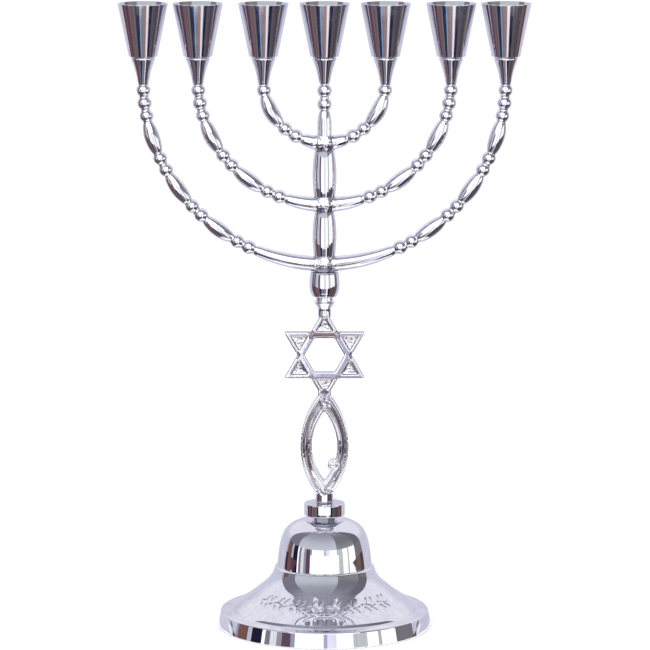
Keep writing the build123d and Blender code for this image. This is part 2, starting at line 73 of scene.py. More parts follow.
class Bench:
    """The hand operations that every piece is made with."""

    @staticmethod
    def clear() -> None:
        """Deselect everything, so that an operator acts only on the new piece."""
        bpy.ops.object.select_all(action="DESELECT")

    @staticmethod
    def take(piece: bpy.types.Object) -> None:
        """Make a piece the only one selected, and active."""
        Bench.clear()
        piece.select_set(True)
        bpy.context.view_layer.objects.active = piece

    @staticmethod
    def ring(name: str, radius: float, centre: Vector, segments: int) -> bpy.types.Object:
        """Start a piece from one level ring and leave it in edit mode.

        Args:
            name: Name of the new piece.
            radius: Radius of the ring.
            centre: Centre of the ring.
            segments: Number of edges round the ring.

        Returns:
            The new object, at the origin, with its place in its mesh.
        """
        Bench.clear()
        bpy.ops.mesh.primitive_circle_add(vertices=segments, radius=radius, fill_type="NOTHING")
        piece = bpy.context.active_object
        piece.name = name
        piece.data.name = name
        bpy.ops.object.mode_set(mode="EDIT")
        bpy.ops.mesh.select_all(action="SELECT")
        bpy.ops.transform.translate(value=centre)
        return piece

    @staticmethod
    def close_end() -> None:
        """Fill the selected ring with one face."""
        bpy.ops.mesh.edge_face_add()

    @staticmethod
    def finish_edit(merge: float) -> None:
        """Merge doubles, turn all faces outwards and leave edit mode.

        Args:
            merge: Distance under which corners are one corner.
        """
        bpy.ops.mesh.select_all(action="SELECT")
        bpy.ops.mesh.remove_doubles(threshold=merge)
        bpy.ops.mesh.normals_make_consistent(inside=False)
        bpy.ops.object.mode_set(mode="OBJECT")

    @staticmethod
    def round_edges(piece: bpy.types.Object, width: float, angle: float = 30.0, segments: int = 3) -> None:
        """Break the sharp edges of a piece with an applied bevel.

        Args:
            piece: The piece to work on.
            width: Width of the rounding.
            angle: Edges sharper than this many degrees are rounded.
            segments: Steps across the rounding.
        """
        Bench.take(piece)
        rounding = piece.modifiers.new("rounding", "BEVEL")
        rounding.width = width
        rounding.segments = segments
        rounding.limit_method = "ANGLE"
        rounding.angle_limit = math.radians(angle)
        rounding.harden_normals = False
        bpy.ops.object.modifier_apply(modifier=rounding.name)

    @staticmethod
    def cast(piece: bpy.types.Object, grain: float, passes: int, relief_passes: int = 0) -> None:
        """Fuse a piece's overlapping solids into one skin with soft inner corners, as casting does.

        Args:
            piece: The piece to work on.
            grain: Size of the skin's faces.
            passes: How often the skin is smoothed.
            relief_passes: How often it is smoothed again in depth alone, which rounds a flat piece's relief.
        """
        Bench.take(piece)
        fused = piece.modifiers.new("fused", "REMESH")
        fused.mode = "VOXEL"
        fused.voxel_size = grain
        fused.adaptivity = 0.0
        bpy.ops.object.modifier_apply(modifier=fused.name)
        soft = piece.modifiers.new("soft", "SMOOTH")
        soft.factor = 0.5
        soft.iterations = passes
        bpy.ops.object.modifier_apply(modifier=soft.name)
        if relief_passes:
            relief = piece.modifiers.new("relief", "SMOOTH")
            relief.factor = 0.5
            relief.iterations = relief_passes
            relief.use_x = False
            relief.use_z = False
            bpy.ops.object.modifier_apply(modifier=relief.name)

    @staticmethod
    def mirror_x(piece: bpy.types.Object) -> None:
        """Complete a half piece with its mirror image across the stem's plane."""
        Bench.take(piece)
        other = piece.modifiers.new("other_half", "MIRROR")
        other.use_axis[0] = True
        other.merge_threshold = 0.02 * MM
        bpy.ops.object.modifier_apply(modifier=other.name)
        bpy.ops.object.mode_set(mode="EDIT")
        bpy.ops.mesh.select_all(action="SELECT")
        bpy.ops.mesh.normals_make_consistent(inside=False)
        bpy.ops.object.mode_set(mode="OBJECT")

    @staticmethod
    def join(main: bpy.types.Object, *others: bpy.types.Object) -> bpy.types.Object:
        """Join pieces into the first one and return it."""
        Bench.take(main)
        for other in others:
            other.select_set(True)
        bpy.ops.object.join()
        return bpy.context.active_object

    @staticmethod
    def settle(piece: bpy.types.Object) -> None:
        """Write a piece's place and turn into its mesh."""
        Bench.take(piece)
        bpy.ops.object.transform_apply(location=True, rotation=True, scale=True)

    @staticmethod
    def smooth(piece: bpy.types.Object, angle: float = 40.0) -> None:
        """Shade a piece smooth, with edges sharper than the angle in degrees kept crisp."""
        Bench.take(piece)
        bpy.ops.object.shade_smooth_by_angle(angle=math.radians(angle))

    @staticmethod
    def move_points(piece: bpy.types.Object, rule: Callable[[Vector, Vector], Vector]) -> None:
        """Move each corner of a mesh by a rule of its place and its normal.

        Args:
            piece: The piece to work on.
            rule: Gives the corner's shift from its place and normal.
        """
        shifts = [rule(corner.co.copy(), corner.normal.copy()) for corner in piece.data.vertices]
        for corner, shift in zip(piece.data.vertices, shifts):
            corner.co += shift
        piece.data.update()


@dataclass
class Turned:
    """A lathe shape: rings drawn up one after another along an outline of radius and height."""

    name: str
    outline: Outline
    segments: int = 128
    edge: float = 0.12 * MM
    merge: float = 0.005 * MM
    sharp_from: float = 28.0
    hold: float = 2.5

    def held(self) -> Outline:
        """The outline with a close ring on each side of every sharp corner, so that flats stay flat."""
        hold = self.hold * self.edge
        if not hold:
            return self.outline
        corners = [Vector(corner) for corner in self.outline]
        points = []
        for before, corner, after in zip(corners[-1:] + corners[:-1], corners, corners[1:] + corners[:1]):
            come, leave = corner - before, after - corner
            sharp = abs(come.angle(leave, 0.0)) > math.radians(self.sharp_from)
            if sharp and come.length > self.hold * hold:
                points.append(tuple(corner - come.normalized() * hold))
            points.append(tuple(corner))
            if sharp and leave.length > self.hold * hold:
                points.append(tuple(corner + leave.normalized() * hold))
        return points

    def build(self) -> bpy.types.Object:
        """Extrude the rings and close the outline on itself.

        Returns:
            A closed ring-shaped solid about the Z axis.
        """
        outline = self.held()
        radius, height = outline[0]
        piece = Bench.ring(self.name, radius, Vector((0, 0, height)), self.segments)
        for next_radius, next_height in outline[1:] + outline[:1]:
            rise = (0, 0, next_height - height)
            bpy.ops.mesh.extrude_region_move(TRANSFORM_OT_translate={"value": rise})
            swell = next_radius / radius
            bpy.ops.transform.resize(value=(swell, swell, 1), center_override=(0, 0, next_height))
            radius, height = next_radius, next_height
        Bench.finish_edit(self.merge)
        if self.edge:
            Bench.round_edges(piece, self.edge)
        Bench.smooth(piece)
        return piece


def arc_points(
    centre: tuple[float, float], size: tuple[float, float], turn: tuple[float, float], steps: int
) -> Outline:
    """Points along an elliptical arc.

    Args:
        centre: Centre of the ellipse, as radius and height.
        size: Its two half axes.
        turn: First and last angle in degrees.
        steps: Number of steps between them.

    Returns:
        The points, both ends included.
    """
    first, last = (math.radians(angle) for angle in turn)
    points = []
    for step in range(steps + 1):
        angle = first + (last - first) * step / steps
        points.append((centre[0] + size[0] * math.cos(angle), centre[1] + size[1] * math.sin(angle)))
    return points


def eased(points: Outline, steps: int) -> Outline:
    """A smooth curve through the points.

    Args:
        points: Points that the curve passes through.
        steps: Steps between one point and the next.

    Returns:
        The points of the curve, both ends included.
    """
    ends = [points[0], *points, points[-1]]
    curve = []
    for before, start, stop, after in zip(ends, ends[1:], ends[2:], ends[3:]):
        for step in range(steps):
            t = step / steps
            weights = (
                (-t + 2 * t**2 - t**3) / 2,
                (2 - 5 * t**2 + 3 * t**3) / 2,
                (t + 4 * t**2 - 3 * t**3) / 2,
                (t**3 - t**2) / 2,
            )
            four = (before, start, stop, after)
            curve.append(tuple(sum(w * p[axis] for w, p in zip(weights, four)) for axis in (0, 1)))
    return curve + [points[-1]]


# --------------------------------------------------------------------------- surface effects


class EffectGroups:
    """Shader node groups that several finishes share, each made once."""

    made: dict[str, bpy.types.NodeTree] = {}

    @staticmethod
    def start(name: str, inputs: dict[str, float], outputs: list[str]) -> bpy.types.NodeTree:
        """Create an empty group with number sockets.

        Args:
            name: Name of the group.
            inputs: Input names with their default values.
            outputs: Names of the number outputs.

        Returns:
            The new group, with its input and output nodes.
        """
        group = bpy.data.node_groups.new(name, "ShaderNodeTree")
        for socket, value in inputs.items():
            made = group.interface.new_socket(name=socket, in_out="INPUT", socket_type="NodeSocketFloat")
            made.default_value = value
        for socket in outputs:
            group.interface.new_socket(name=socket, in_out="OUTPUT", socket_type="NodeSocketFloat")
        group.nodes.new("NodeGroupInput").name = "in"
        group.nodes.new("NodeGroupOutput").name = "out"
        return group

    @classmethod
    def handling_haze(cls) -> bpy.types.NodeTree:
        """Cloudy film and faint smears that handling leaves on polish: outputs Roughness and Tone."""
        if "haze" in cls.made:
            return cls.made["haze"]
        group = cls.start("handling_haze", {"Scale": 60.0, "Low": 0.05, "High": 0.14}, ["Roughness", "Tone"])
        nodes, links = group.nodes, group.links
        place = nodes.new("ShaderNodeTexCoord")
        cloud = nodes.new("ShaderNodeTexNoise")
        cloud.inputs["Detail"].default_value = 5.0
        cloud.inputs["Roughness"].default_value = 0.62
        links.new(place.outputs["Object"], cloud.inputs["Vector"])
        links.new(nodes["in"].outputs["Scale"], cloud.inputs["Scale"])
        span = nodes.new("ShaderNodeMapRange")
        span.inputs["From Min"].default_value = 0.35
        span.inputs["From Max"].default_value = 0.72
        links.new(cloud.outputs["Fac"], span.inputs["Value"])
        links.new(nodes["in"].outputs["Low"], span.inputs["To Min"])
        links.new(nodes["in"].outputs["High"], span.inputs["To Max"])
        links.new(span.outputs["Result"], nodes["out"].inputs["Roughness"])
        tone = nodes.new("ShaderNodeMapRange")
        tone.inputs["From Min"].default_value = 0.3
        tone.inputs["From Max"].default_value = 0.7
        links.new(cloud.outputs["Fac"], tone.inputs["Value"])
        links.new(tone.outputs["Result"], nodes["out"].inputs["Tone"])
        cls.made["haze"] = group
        return group

    @classmethod
    def cast_skin(cls) -> bpy.types.NodeTree:
        """Slight waviness and fine pits of a polished casting: output Height."""
        if "skin" in cls.made:
            return cls.made["skin"]
        group = cls.start("cast_skin", {"Scale": 500.0, "Pits": 0.3}, ["Height"])
        nodes, links = group.nodes, group.links
        place = nodes.new("ShaderNodeTexCoord")
        wave = nodes.new("ShaderNodeTexNoise")
        wave.inputs["Detail"].default_value = 2.0
        links.new(place.outputs["Object"], wave.inputs["Vector"])
        links.new(nodes["in"].outputs["Scale"], wave.inputs["Scale"])
        finer = nodes.new("ShaderNodeMath")
        finer.operation = "MULTIPLY"
        finer.inputs[1].default_value = 5.0
        links.new(nodes["in"].outputs["Scale"], finer.inputs[0])
        pits = nodes.new("ShaderNodeTexNoise")
        pits.inputs["Detail"].default_value = 3.0
        links.new(place.outputs["Object"], pits.inputs["Vector"])
        links.new(finer.outputs["Value"], pits.inputs["Scale"])
        share = nodes.new("ShaderNodeMath")
        share.operation = "MULTIPLY_ADD"
        links.new(pits.outputs["Fac"], share.inputs[0])
        links.new(nodes["in"].outputs["Pits"], share.inputs[1])
        links.new(wave.outputs["Fac"], share.inputs[2])
        links.new(share.outputs["Value"], nodes["out"].inputs["Height"])
        cls.made["skin"] = group
        return group

    @classmethod
    def hollow_film(cls) -> bpy.types.NodeTree:
        """A darker, brownish colour, patchy, laid in the hollows of a casting: takes its share at each point
        and gives the mask.
        """
        if "film" in cls.made:
            return cls.made["film"]
        group = cls.start("hollow_film", {"Tint Share": 0.0}, ["Mask"])
        nodes, links = group.nodes, group.links
        place = nodes.new("ShaderNodeTexCoord")
        cloud = nodes.new("ShaderNodeTexNoise")
        cloud.inputs["Scale"].default_value = 420.0
        links.new(place.outputs["Object"], cloud.inputs["Vector"])
        patchy = nodes.new("ShaderNodeMapRange")
        patchy.inputs["From Min"].default_value = 0.35
        patchy.inputs["From Max"].default_value = 0.6
        patchy.inputs["To Min"].default_value = 0.6
        links.new(cloud.outputs["Fac"], patchy.inputs["Value"])
        both = nodes.new("ShaderNodeMath")
        both.operation = "MULTIPLY"
        links.new(patchy.outputs["Result"], both.inputs[0])
        links.new(nodes["in"].outputs["Tint Share"], both.inputs[1])
        links.new(both.outputs["Value"], nodes["out"].inputs["Mask"])
        cls.made["film"] = group
        return group

    @classmethod
    def turning_lines(cls) -> bpy.types.NodeTree:
        """Fine rings that the lathe and the polishing mop leave round an upright axis: output Height."""
        if "lines" in cls.made:
            return cls.made["lines"]
        group = cls.start("turning_lines", {"Scale": 2500.0}, ["Height"])
        nodes, links = group.nodes, group.links
        place = nodes.new("ShaderNodeTexCoord")
        parts = nodes.new("ShaderNodeSeparateXYZ")
        links.new(place.outputs["Object"], parts.inputs["Vector"])
        rings = nodes.new("ShaderNodeTexNoise")
        rings.noise_dimensions = "1D"
        rings.inputs["Detail"].default_value = 2.0
        links.new(parts.outputs["Z"], rings.inputs["W"])
        links.new(nodes["in"].outputs["Scale"], rings.inputs["Scale"])
        links.new(rings.outputs["Fac"], nodes["out"].inputs["Height"])
        cls.made["lines"] = group
        return group


@dataclass(frozen=True)
class PlatedFinish:
    """Polished plating on brass; the strengths are bump heights in metres."""

    name: str
    light: tuple[float, float, float] = (0.80, 0.80, 0.875)
    dark: tuple[float, float, float] = (0.74, 0.735, 0.81)
    haze_scale: float = 55.0
    roughness: tuple[float, float] = (0.03, 0.09)
    skin_scale: float = 450.0
    skin_pits: float = 0.2
    skin_height: float = 0.0
    lines_height: float = 0.0
    film: tuple[float, float, float] | None = None

    def material(self) -> bpy.types.Material:
        """Build the finish as a material with its own values in the shared groups."""
        material = bpy.data.materials.new(self.name)
        material.use_nodes = True
        nodes, links = material.node_tree.nodes, material.node_tree.links
        metal = nodes["Principled BSDF"]
        metal.inputs["Metallic"].default_value = 1.0
        metal.inputs["IOR"].default_value = 1.5
        haze = nodes.new("ShaderNodeGroup")
        haze.node_tree = EffectGroups.handling_haze()
        haze.inputs["Scale"].default_value = self.haze_scale
        haze.inputs["Low"].default_value, haze.inputs["High"].default_value = self.roughness
        links.new(haze.outputs["Roughness"], metal.inputs["Roughness"])
        colour = nodes.new("ShaderNodeMix")
        colour.data_type = "RGBA"
        colour.inputs["A"].default_value = (*self.light, 1.0)
        colour.inputs["B"].default_value = (*self.dark, 1.0)
        links.new(haze.outputs["Tone"], colour.inputs["Factor"])
        links.new(colour.outputs["Result"], metal.inputs["Base Color"])
        # Darker, brownish colour laid in the hollows, by the piece's own share at each point.
        if self.film:
            hollow = nodes.new("ShaderNodeGroup")
            hollow.node_tree = EffectGroups.hollow_film()
            share = nodes.new("ShaderNodeAttribute")
            share.attribute_name = "film"
            links.new(share.outputs["Fac"], hollow.inputs["Tint Share"])
            tinted = nodes.new("ShaderNodeMix")
            tinted.data_type = "RGBA"
            tinted.inputs["B"].default_value = (*self.film, 1.0)
            links.new(colour.outputs["Result"], tinted.inputs["A"])
            links.new(hollow.outputs["Mask"], tinted.inputs["Factor"])
            links.new(tinted.outputs["Result"], metal.inputs["Base Color"])
        normal = None
        if self.lines_height:
            lines = nodes.new("ShaderNodeGroup")
            lines.node_tree = EffectGroups.turning_lines()
            normal = self.bump(material, lines.outputs["Height"], self.lines_height, normal)
        if self.skin_height:
            skin = nodes.new("ShaderNodeGroup")
            skin.node_tree = EffectGroups.cast_skin()
            skin.inputs["Scale"].default_value = self.skin_scale
            skin.inputs["Pits"].default_value = self.skin_pits
            normal = self.bump(material, skin.outputs["Height"], self.skin_height, normal)
        if normal is not None:
            links.new(normal, metal.inputs["Normal"])
        return material

    @staticmethod
    def bump(
        material: bpy.types.Material,
        height: bpy.types.NodeSocket,
        distance: float,
        under: bpy.types.NodeSocket | None,
    ) -> bpy.types.NodeSocket:
        """Add a bump of a real height over another one.

        Args:
            material: The material to add to.
            height: Socket that gives the height from 0 to 1.
            distance: Real height in metres.
            under: Normal of the bump below, or None.

        Returns:
            The normal socket of the new bump.
        """
        node = material.node_tree.nodes.new("ShaderNodeBump")
        node.inputs["Strength"].default_value = 1.0
        node.inputs["Distance"].default_value = distance
        material.node_tree.links.new(height, node.inputs["Height"])
        if under is not None:
            material.node_tree.links.new(under, node.inputs["Normal"])
        return node.outputs["Normal"]


@dataclass(frozen=True)
class SteelFinish:
    """Plain screw steel with turning marks and a dull film."""

    name: str = "screw_steel"
    colour: tuple[float, float, float] = (0.46, 0.455, 0.45)
    roughness: tuple[float, float] = (0.24, 0.42)
    lines_height: float = 0.006 * MM

    def material(self) -> bpy.types.Material:
        """Build the steel on the shared plated recipe with its own numbers."""
        darker = tuple(0.7 * part for part in self.colour)
        plated = PlatedFinish(
            self.name,
            light=self.colour,
            dark=darker,
            haze_scale=300.0,
            roughness=self.roughness,
            lines_height=self.lines_height,
        )
        return plated.material()


class Finishes:
    """Every finish of the object, made once."""

    def __init__(self) -> None:
        """Create the materials."""
        self.mirror = PlatedFinish(
            "spun_mirror_plate", roughness=(0.015, 0.06), lines_height=0.0004 * MM
        ).material()
        self.cup = PlatedFinish(
            "turned_cup_plate",
            light=(0.79, 0.785, 0.85),
            haze_scale=120.0,
            roughness=(0.05, 0.13),
            lines_height=0.0012 * MM,
        ).material()
        self.cast = PlatedFinish(
            "polished_casting",
            haze_scale=140.0,
            roughness=(0.03, 0.12),
            skin_scale=380.0,
            skin_height=0.012 * MM,
        ).material()
        self.panel = PlatedFinish(
            "panel_casting",
            haze_scale=200.0,
            roughness=(0.03, 0.13),
            skin_scale=600.0,
            skin_pits=0.35,
            skin_height=0.014 * MM,
            # Darker, brownish colour for the panel's hollows and the walls round the star's fields.
            film=(0.42, 0.36, 0.41),
        ).material()
        self.steel = SteelFinish().material()


def dress(piece: bpy.types.Object, material: bpy.types.Material, slot: Slot, *nodes: str) -> None:
    """Give a finished piece its material, its body and the nodes that it stands for.

    Args:
        piece: The finished piece.
        material: Its material.
        slot: The record's slot for it; not used.
        nodes: The frame's nodes that it replaces.
    """
    piece.data.materials.clear()
    piece.data.materials.append(material)
    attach(piece, BODY)
    if nodes:
        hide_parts(*nodes)
    triangles = sum(len(face.vertices) - 2 for face in piece.data.polygons)
    log.info("%s: %d triangles, for %s", piece.name, triangles, ", ".join(nodes) or "no node")


# --------------------------------------------------------------------------- turned pieces


@dataclass
class BellFoot:
    """The spun bell: domed body, turned line, concave skirt with an engraved band, step and flared rim."""

    rim_flare: float = 1.5 * MM
    rim_height: float = 6.4 * MM
    land_width: float = 4.2 * MM
    land_rise: float = 0.6 * MM
    step_width: float = 0.6 * MM
    step_height: float = 0.9 * MM
    ledge: tuple[float, float] = (20.1 * MM, 24.5 * MM)
    body_radius: float = 18.1 * MM
    shoulder_height: float = 33.5 * MM
    dome_curve: tuple[tuple[float, float], ...] = (
        (19.4 * MM, 24.85 * MM),
        (19.0 * MM, 28.0 * MM),
        (18.6 * MM, 31.3 * MM),
        (18.1 * MM, 34.3 * MM),
        (17.45 * MM, 36.6 * MM),
        (16.6 * MM, 38.6 * MM),
        (15.35 * MM, 40.4 * MM),
        (13.4 * MM, 42.0 * MM),
        (11.0 * MM, 43.2 * MM),
        (9.2 * MM, 43.8 * MM),
        (8.4 * MM, 43.85 * MM),
    )
    crest_radius: float = 8.4 * MM
    crown_depth: float = 0.8 * MM
    seat_radius: float = 5.2 * MM
    bore: float = 3.5 * MM
    wall: float = 1.8 * MM
    crown_wall: float = 3.0 * MM
    skirt_curve: tuple[tuple[float, float], ...] = (
        (0.0, 0.0),
        (0.075, 0.2),
        (0.2, 0.37),
        (0.4, 0.55),
        (0.62, 0.73),
        (0.82, 0.87),
        (1.0, 1.0),
    )
    segments: int = 256
    band: tuple[float, float] = (25.2 * MM, 33.4 * MM)
    band_reach: float = 64.0
    sprigs: int = 8
    cut: float = 0.26 * MM
    leaf_roots: tuple[tuple[float, int], ...] = ((-0.3, 1), (-0.16, -1), (0.06, 1), (0.2, -1))
    leaf_lean: float = 48.0
    leaf_size: tuple[float, float] = (1.55 * MM, 0.6 * MM)
    leaf_offset: tuple[float, float] = (0.8 * MM, 1.75 * MM)
    stem_wave: float = 0.5 * MM
    stem_half: float = 0.3 * MM
    fineness: int = 5

    def skirt(self, step_radius: float, step_level: float) -> Outline:
        """The skirt's outline from the turned line down to its lower edge.

        Args:
            step_radius: Radius of the lower edge.
            step_level: Height of the lower edge.

        Returns:
            The points of the smooth outline.
        """
        run = step_radius - self.ledge[0]
        fall = self.ledge[1] - step_level
        radius, level = self.ledge
        corners = [(radius + out * run, level - down * fall) for out, down in self.skirt_curve]
        return eased(corners, 6)

    def inner(self, points: Outline) -> Outline:
        """The same points moved square to the outline by the wall's thickness."""
        moved = []
        for number, (radius, height) in enumerate(points):
            before = points[max(number - 1, 0)]
            after = points[min(number + 1, len(points) - 1)]
            run, rise = after[0] - before[0], after[1] - before[1]
            length = math.hypot(run, rise)
            moved.append((radius + rise / length * self.wall, height - run / length * self.wall))
        return moved

    def outline(self) -> Outline:
        """The whole closed outline, up the outside and down the inside."""
        low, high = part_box("bell_base")
        foot_radius, foot = high.x, low.z
        crest = high.z
        rim_radius = foot_radius - self.rim_flare
        land_radius = rim_radius - self.land_width
        land = foot + self.rim_height + self.land_rise
        skirt = self.skirt(land_radius - self.step_width, land + self.step_height)
        crown = crest - self.crown_depth
        ceiling = crown - self.crown_wall
        outside = [
            (foot_radius, foot),
            (rim_radius, foot + self.rim_height),
            (land_radius, land),
            *reversed(skirt),
            *eased(list(self.dome_curve), 3),
            (self.seat_radius, crown),
            (self.bore, crown),
        ]
        inner_body = self.body_radius - self.wall
        inner_dome = (inner_body - self.crest_radius, ceiling - self.shoulder_height)
        inside = [
            (self.bore, ceiling),
            *reversed(arc_points((self.crest_radius, self.shoulder_height), inner_dome, (0, 90), 12)),
            *self.inner(skirt),
            (rim_radius - self.wall, foot + self.rim_height - self.wall),
            (foot_radius - self.wall, foot),
        ]
        return outside + inside

    def refine_band(self, piece: bpy.types.Object) -> None:
        """Divide the front of the skirt's outside finely enough to engrave it."""
        Bench.take(piece)
        bpy.ops.object.mode_set(mode="EDIT")
        bpy.context.tool_settings.mesh_select_mode = (False, False, True)
        bpy.ops.mesh.select_all(action="DESELECT")
        bpy.ops.object.mode_set(mode="OBJECT")
        inner_edge, outer_edge = self.band
        for face in piece.data.polygons:
            centre = face.center
            radius = math.hypot(centre.x, centre.y)
            azimuth = math.degrees(math.atan2(centre.x, -centre.y))
            in_band = inner_edge <= radius <= outer_edge and abs(azimuth) <= self.band_reach
            face.select = in_band and face.normal.z > 0.2
        bpy.ops.object.mode_set(mode="EDIT")
        bpy.ops.mesh.subdivide(number_cuts=self.fineness, smoothness=0.0)
        bpy.context.tool_settings.mesh_select_mode = (True, False, False)
        bpy.ops.object.mode_set(mode="OBJECT")

    def seat_band(self, piece: bpy.types.Object, skirt: Outline) -> None:
        """Put the divided corners back on the skirt's true round surface."""
        rings = sorted(skirt)

        def level(radius: float) -> float:
            """Height of the skirt at a radius."""
            for (r0, z0), (r1, z1) in zip(rings, rings[1:]):
                if r0 <= radius <= r1:
                    return z0 + (z1 - z0) * (radius - r0) / (r1 - r0)
            return rings[-1][1]

        step = 2 * math.pi / self.segments

        def rule(place: Vector, normal: Vector) -> Vector:
            """Shift of one corner."""
            chord = math.hypot(place.x, place.y)
            azimuth = math.atan2(place.x, -place.y)
            if not (self.band[0] - MM < chord < self.band[1] + MM and normal.z > 0.2):
                return Vector()
            if abs(math.degrees(azimuth)) > self.band_reach + 2:
                return Vector()
            off = (azimuth / step + self.segments) % 1.0 - 0.5
            radius = chord * math.cos(off * step) / math.cos(step / 2)
            swell = radius / chord
            return Vector((place.x * (swell - 1), place.y * (swell - 1), level(radius) - place.z))

        Bench.move_points(piece, rule)

    def engraving(self, across: float, along: float, pitch: float) -> float:
        """Depth share of the leaf pattern at a point of the unrolled band.

        Args:
            across: Distance from the band's middle line, outwards.
            along: Distance along the middle line.
            pitch: Length of one sprig.

        Returns:
            0 outside the pattern, up to 1 in the middle of a leaf.
        """
        place = (along / pitch) % 1.0 - 0.5
        u = place * pitch
        stem = abs(across - self.stem_wave * math.sin(2 * math.pi * place)) / self.stem_half
        share = max(0.0, 1.0 - stem * stem) if abs(place) < 0.46 else 0.0
        for root, side in self.leaf_roots:
            angle = side * math.radians(self.leaf_lean)
            du = u - root * pitch - self.leaf_offset[0]
            dv = across - side * self.leaf_offset[1]
            long_way = du * math.cos(angle) + dv * math.sin(angle)
            short_way = dv * math.cos(angle) - du * math.sin(angle)
            inside = 1.0 - (long_way / self.leaf_size[0]) ** 2 - (short_way / self.leaf_size[1]) ** 2
            share = max(share, min(1.0, 2.0 * inside))
        return share

    def engrave(self, piece: bpy.types.Object) -> None:
        """Sink the row of leafy sprigs into the front of the skirt."""
        inner_edge, outer_edge = self.band
        middle = (inner_edge + outer_edge) / 2
        length = 2 * math.radians(self.band_reach - 4) * middle
        pitch = length / self.sprigs

        def rule(place: Vector, normal: Vector) -> Vector:
            """Shift of one corner."""
            radius = math.hypot(place.x, place.y)
            azimuth = math.atan2(place.x, -place.y)
            along = azimuth * middle + length / 2
            if normal.z < 0.2 or not inner_edge < radius < outer_edge or not 0 < along < length:
                return Vector()
            return normal * (-self.cut * self.engraving(radius - middle, along, pitch))

        Bench.move_points(piece, rule)

    def build(self, finishes: Finishes) -> bpy.types.Object:
        """Turn the bell, engrave it and dress it."""
        outline = self.outline()
        piece = Turned("bell_foot", outline, self.segments, edge=0.25 * MM).build()
        self.refine_band(piece)
        low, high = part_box("bell_base")
        land_radius = high.x - self.rim_flare - self.land_width
        land = low.z + self.rim_height + self.land_rise
        self.seat_band(piece, self.skirt(land_radius - self.step_width, land + self.step_height))
        self.engrave(piece)
        Bench.smooth(piece, 38)
        dress(piece, finishes.mirror, Slot.TURNED, "bell_base")
        return piece


@dataclass
class BaseCollar:
    """The sharp-edged disc with its neck, between bell and panel."""

    neck_radius: float = 5.2 * MM
    neck_height: float = 2.6 * MM
    spigot_radius: float = 3.4 * MM
    spigot_length: float = 1.6 * MM
    bore: float = 2.25 * MM
    neck_fillet: float = 0.7 * MM

    def build(self, finishes: Finishes) -> bpy.types.Object:
        """Turn the collar and dress it."""
        low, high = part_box("base_collar")
        seat = low.z + self.spigot_length
        disc = seat + self.neck_height
        cove_centre = (self.neck_radius + self.neck_fillet, disc - self.neck_fillet)
        cove = arc_points(cove_centre, (self.neck_fillet, self.neck_fillet), (180, 90), 5)
        outline = [
            (self.bore, low.z),
            (self.spigot_radius, low.z),
            (self.spigot_radius, seat),
            (self.neck_radius, seat),
            *cove,
            (high.x, disc),
            (high.x, high.z),
            (self.bore, high.z),
        ]
        piece = Turned("base_disc", outline, 128, edge=0.3 * MM).build()
        dress(piece, finishes.mirror, Slot.TURNED, "base_collar")
        return piece


@dataclass
class StemSocket:
    """The cup-shaped piece under the outer branch."""

    bottom_radius: float = 5.35 * MM
    rounding: float = 1.1 * MM
    full_height: float = 0.5
    lip: float = 0.5 * MM
    bore: float = 3.55 * MM

    def build(self, finishes: Finishes) -> bpy.types.Object:
        """Turn the socket and dress it."""
        low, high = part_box("stem_socket")
        rounded = arc_points(
            (self.bottom_radius - self.rounding, low.z + self.rounding),
            (self.rounding, self.rounding),
            (-90, -8),
            6,
        )
        wall = []
        steps = 14
        start_radius, start_height = rounded[-1]
        for step in range(1, steps + 1):
            share = step / steps
            swell = 1 - (1 - min(1.0, share / self.full_height)) ** 3
            lip = self.lip * max(0.0, share - self.full_height) ** 2 / (1 - self.full_height) ** 2
            radius = start_radius + (high.x - start_radius) * swell - lip
            wall.append((radius, start_height + (high.z - start_height) * share))
        outline = [(self.bore, low.z), *rounded, *wall, (self.bore, high.z)]
        piece = Turned("stem_cup", outline, 96, edge=0.2 * MM).build()
        dress(piece, finishes.mirror, Slot.TURNED, "stem_socket")
        return piece


@dataclass
class StemBarrel:
    """A swelling piece between two branches."""

    name: str
    node: str
    foot_radius: float = 4.3 * MM
    end_radius: float = 3.9 * MM
    bore: float = 1.75 * MM
    peak: float = 0.47

    def radius_at(self, share: float, widest: float) -> float:
        """Radius at a share of the height.

        Args:
            share: 0 at the foot, 1 at the top.
            widest: Radius at the belly.

        Returns:
            The radius.
        """
        end = self.foot_radius if share < self.peak else self.end_radius
        reach = self.peak if share < self.peak else 1 - self.peak
        away = abs(share - self.peak) / reach
        return widest - (widest - end) * away**2.1

    def build(self, finishes: Finishes) -> bpy.types.Object:
        """Turn the barrel and dress it."""
        low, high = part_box(self.node)
        steps = 26
        side = []
        for step in range(steps + 1):
            share = step / steps
            side.append((self.radius_at(share, high.x), low.z + (high.z - low.z) * share))
        outline = [(self.bore, low.z), *side, (self.bore, high.z)]
        piece = Turned(self.name, outline, 96, edge=0.35 * MM).build()
        dress(piece, finishes.mirror, Slot.TURNED, self.node)
        return piece


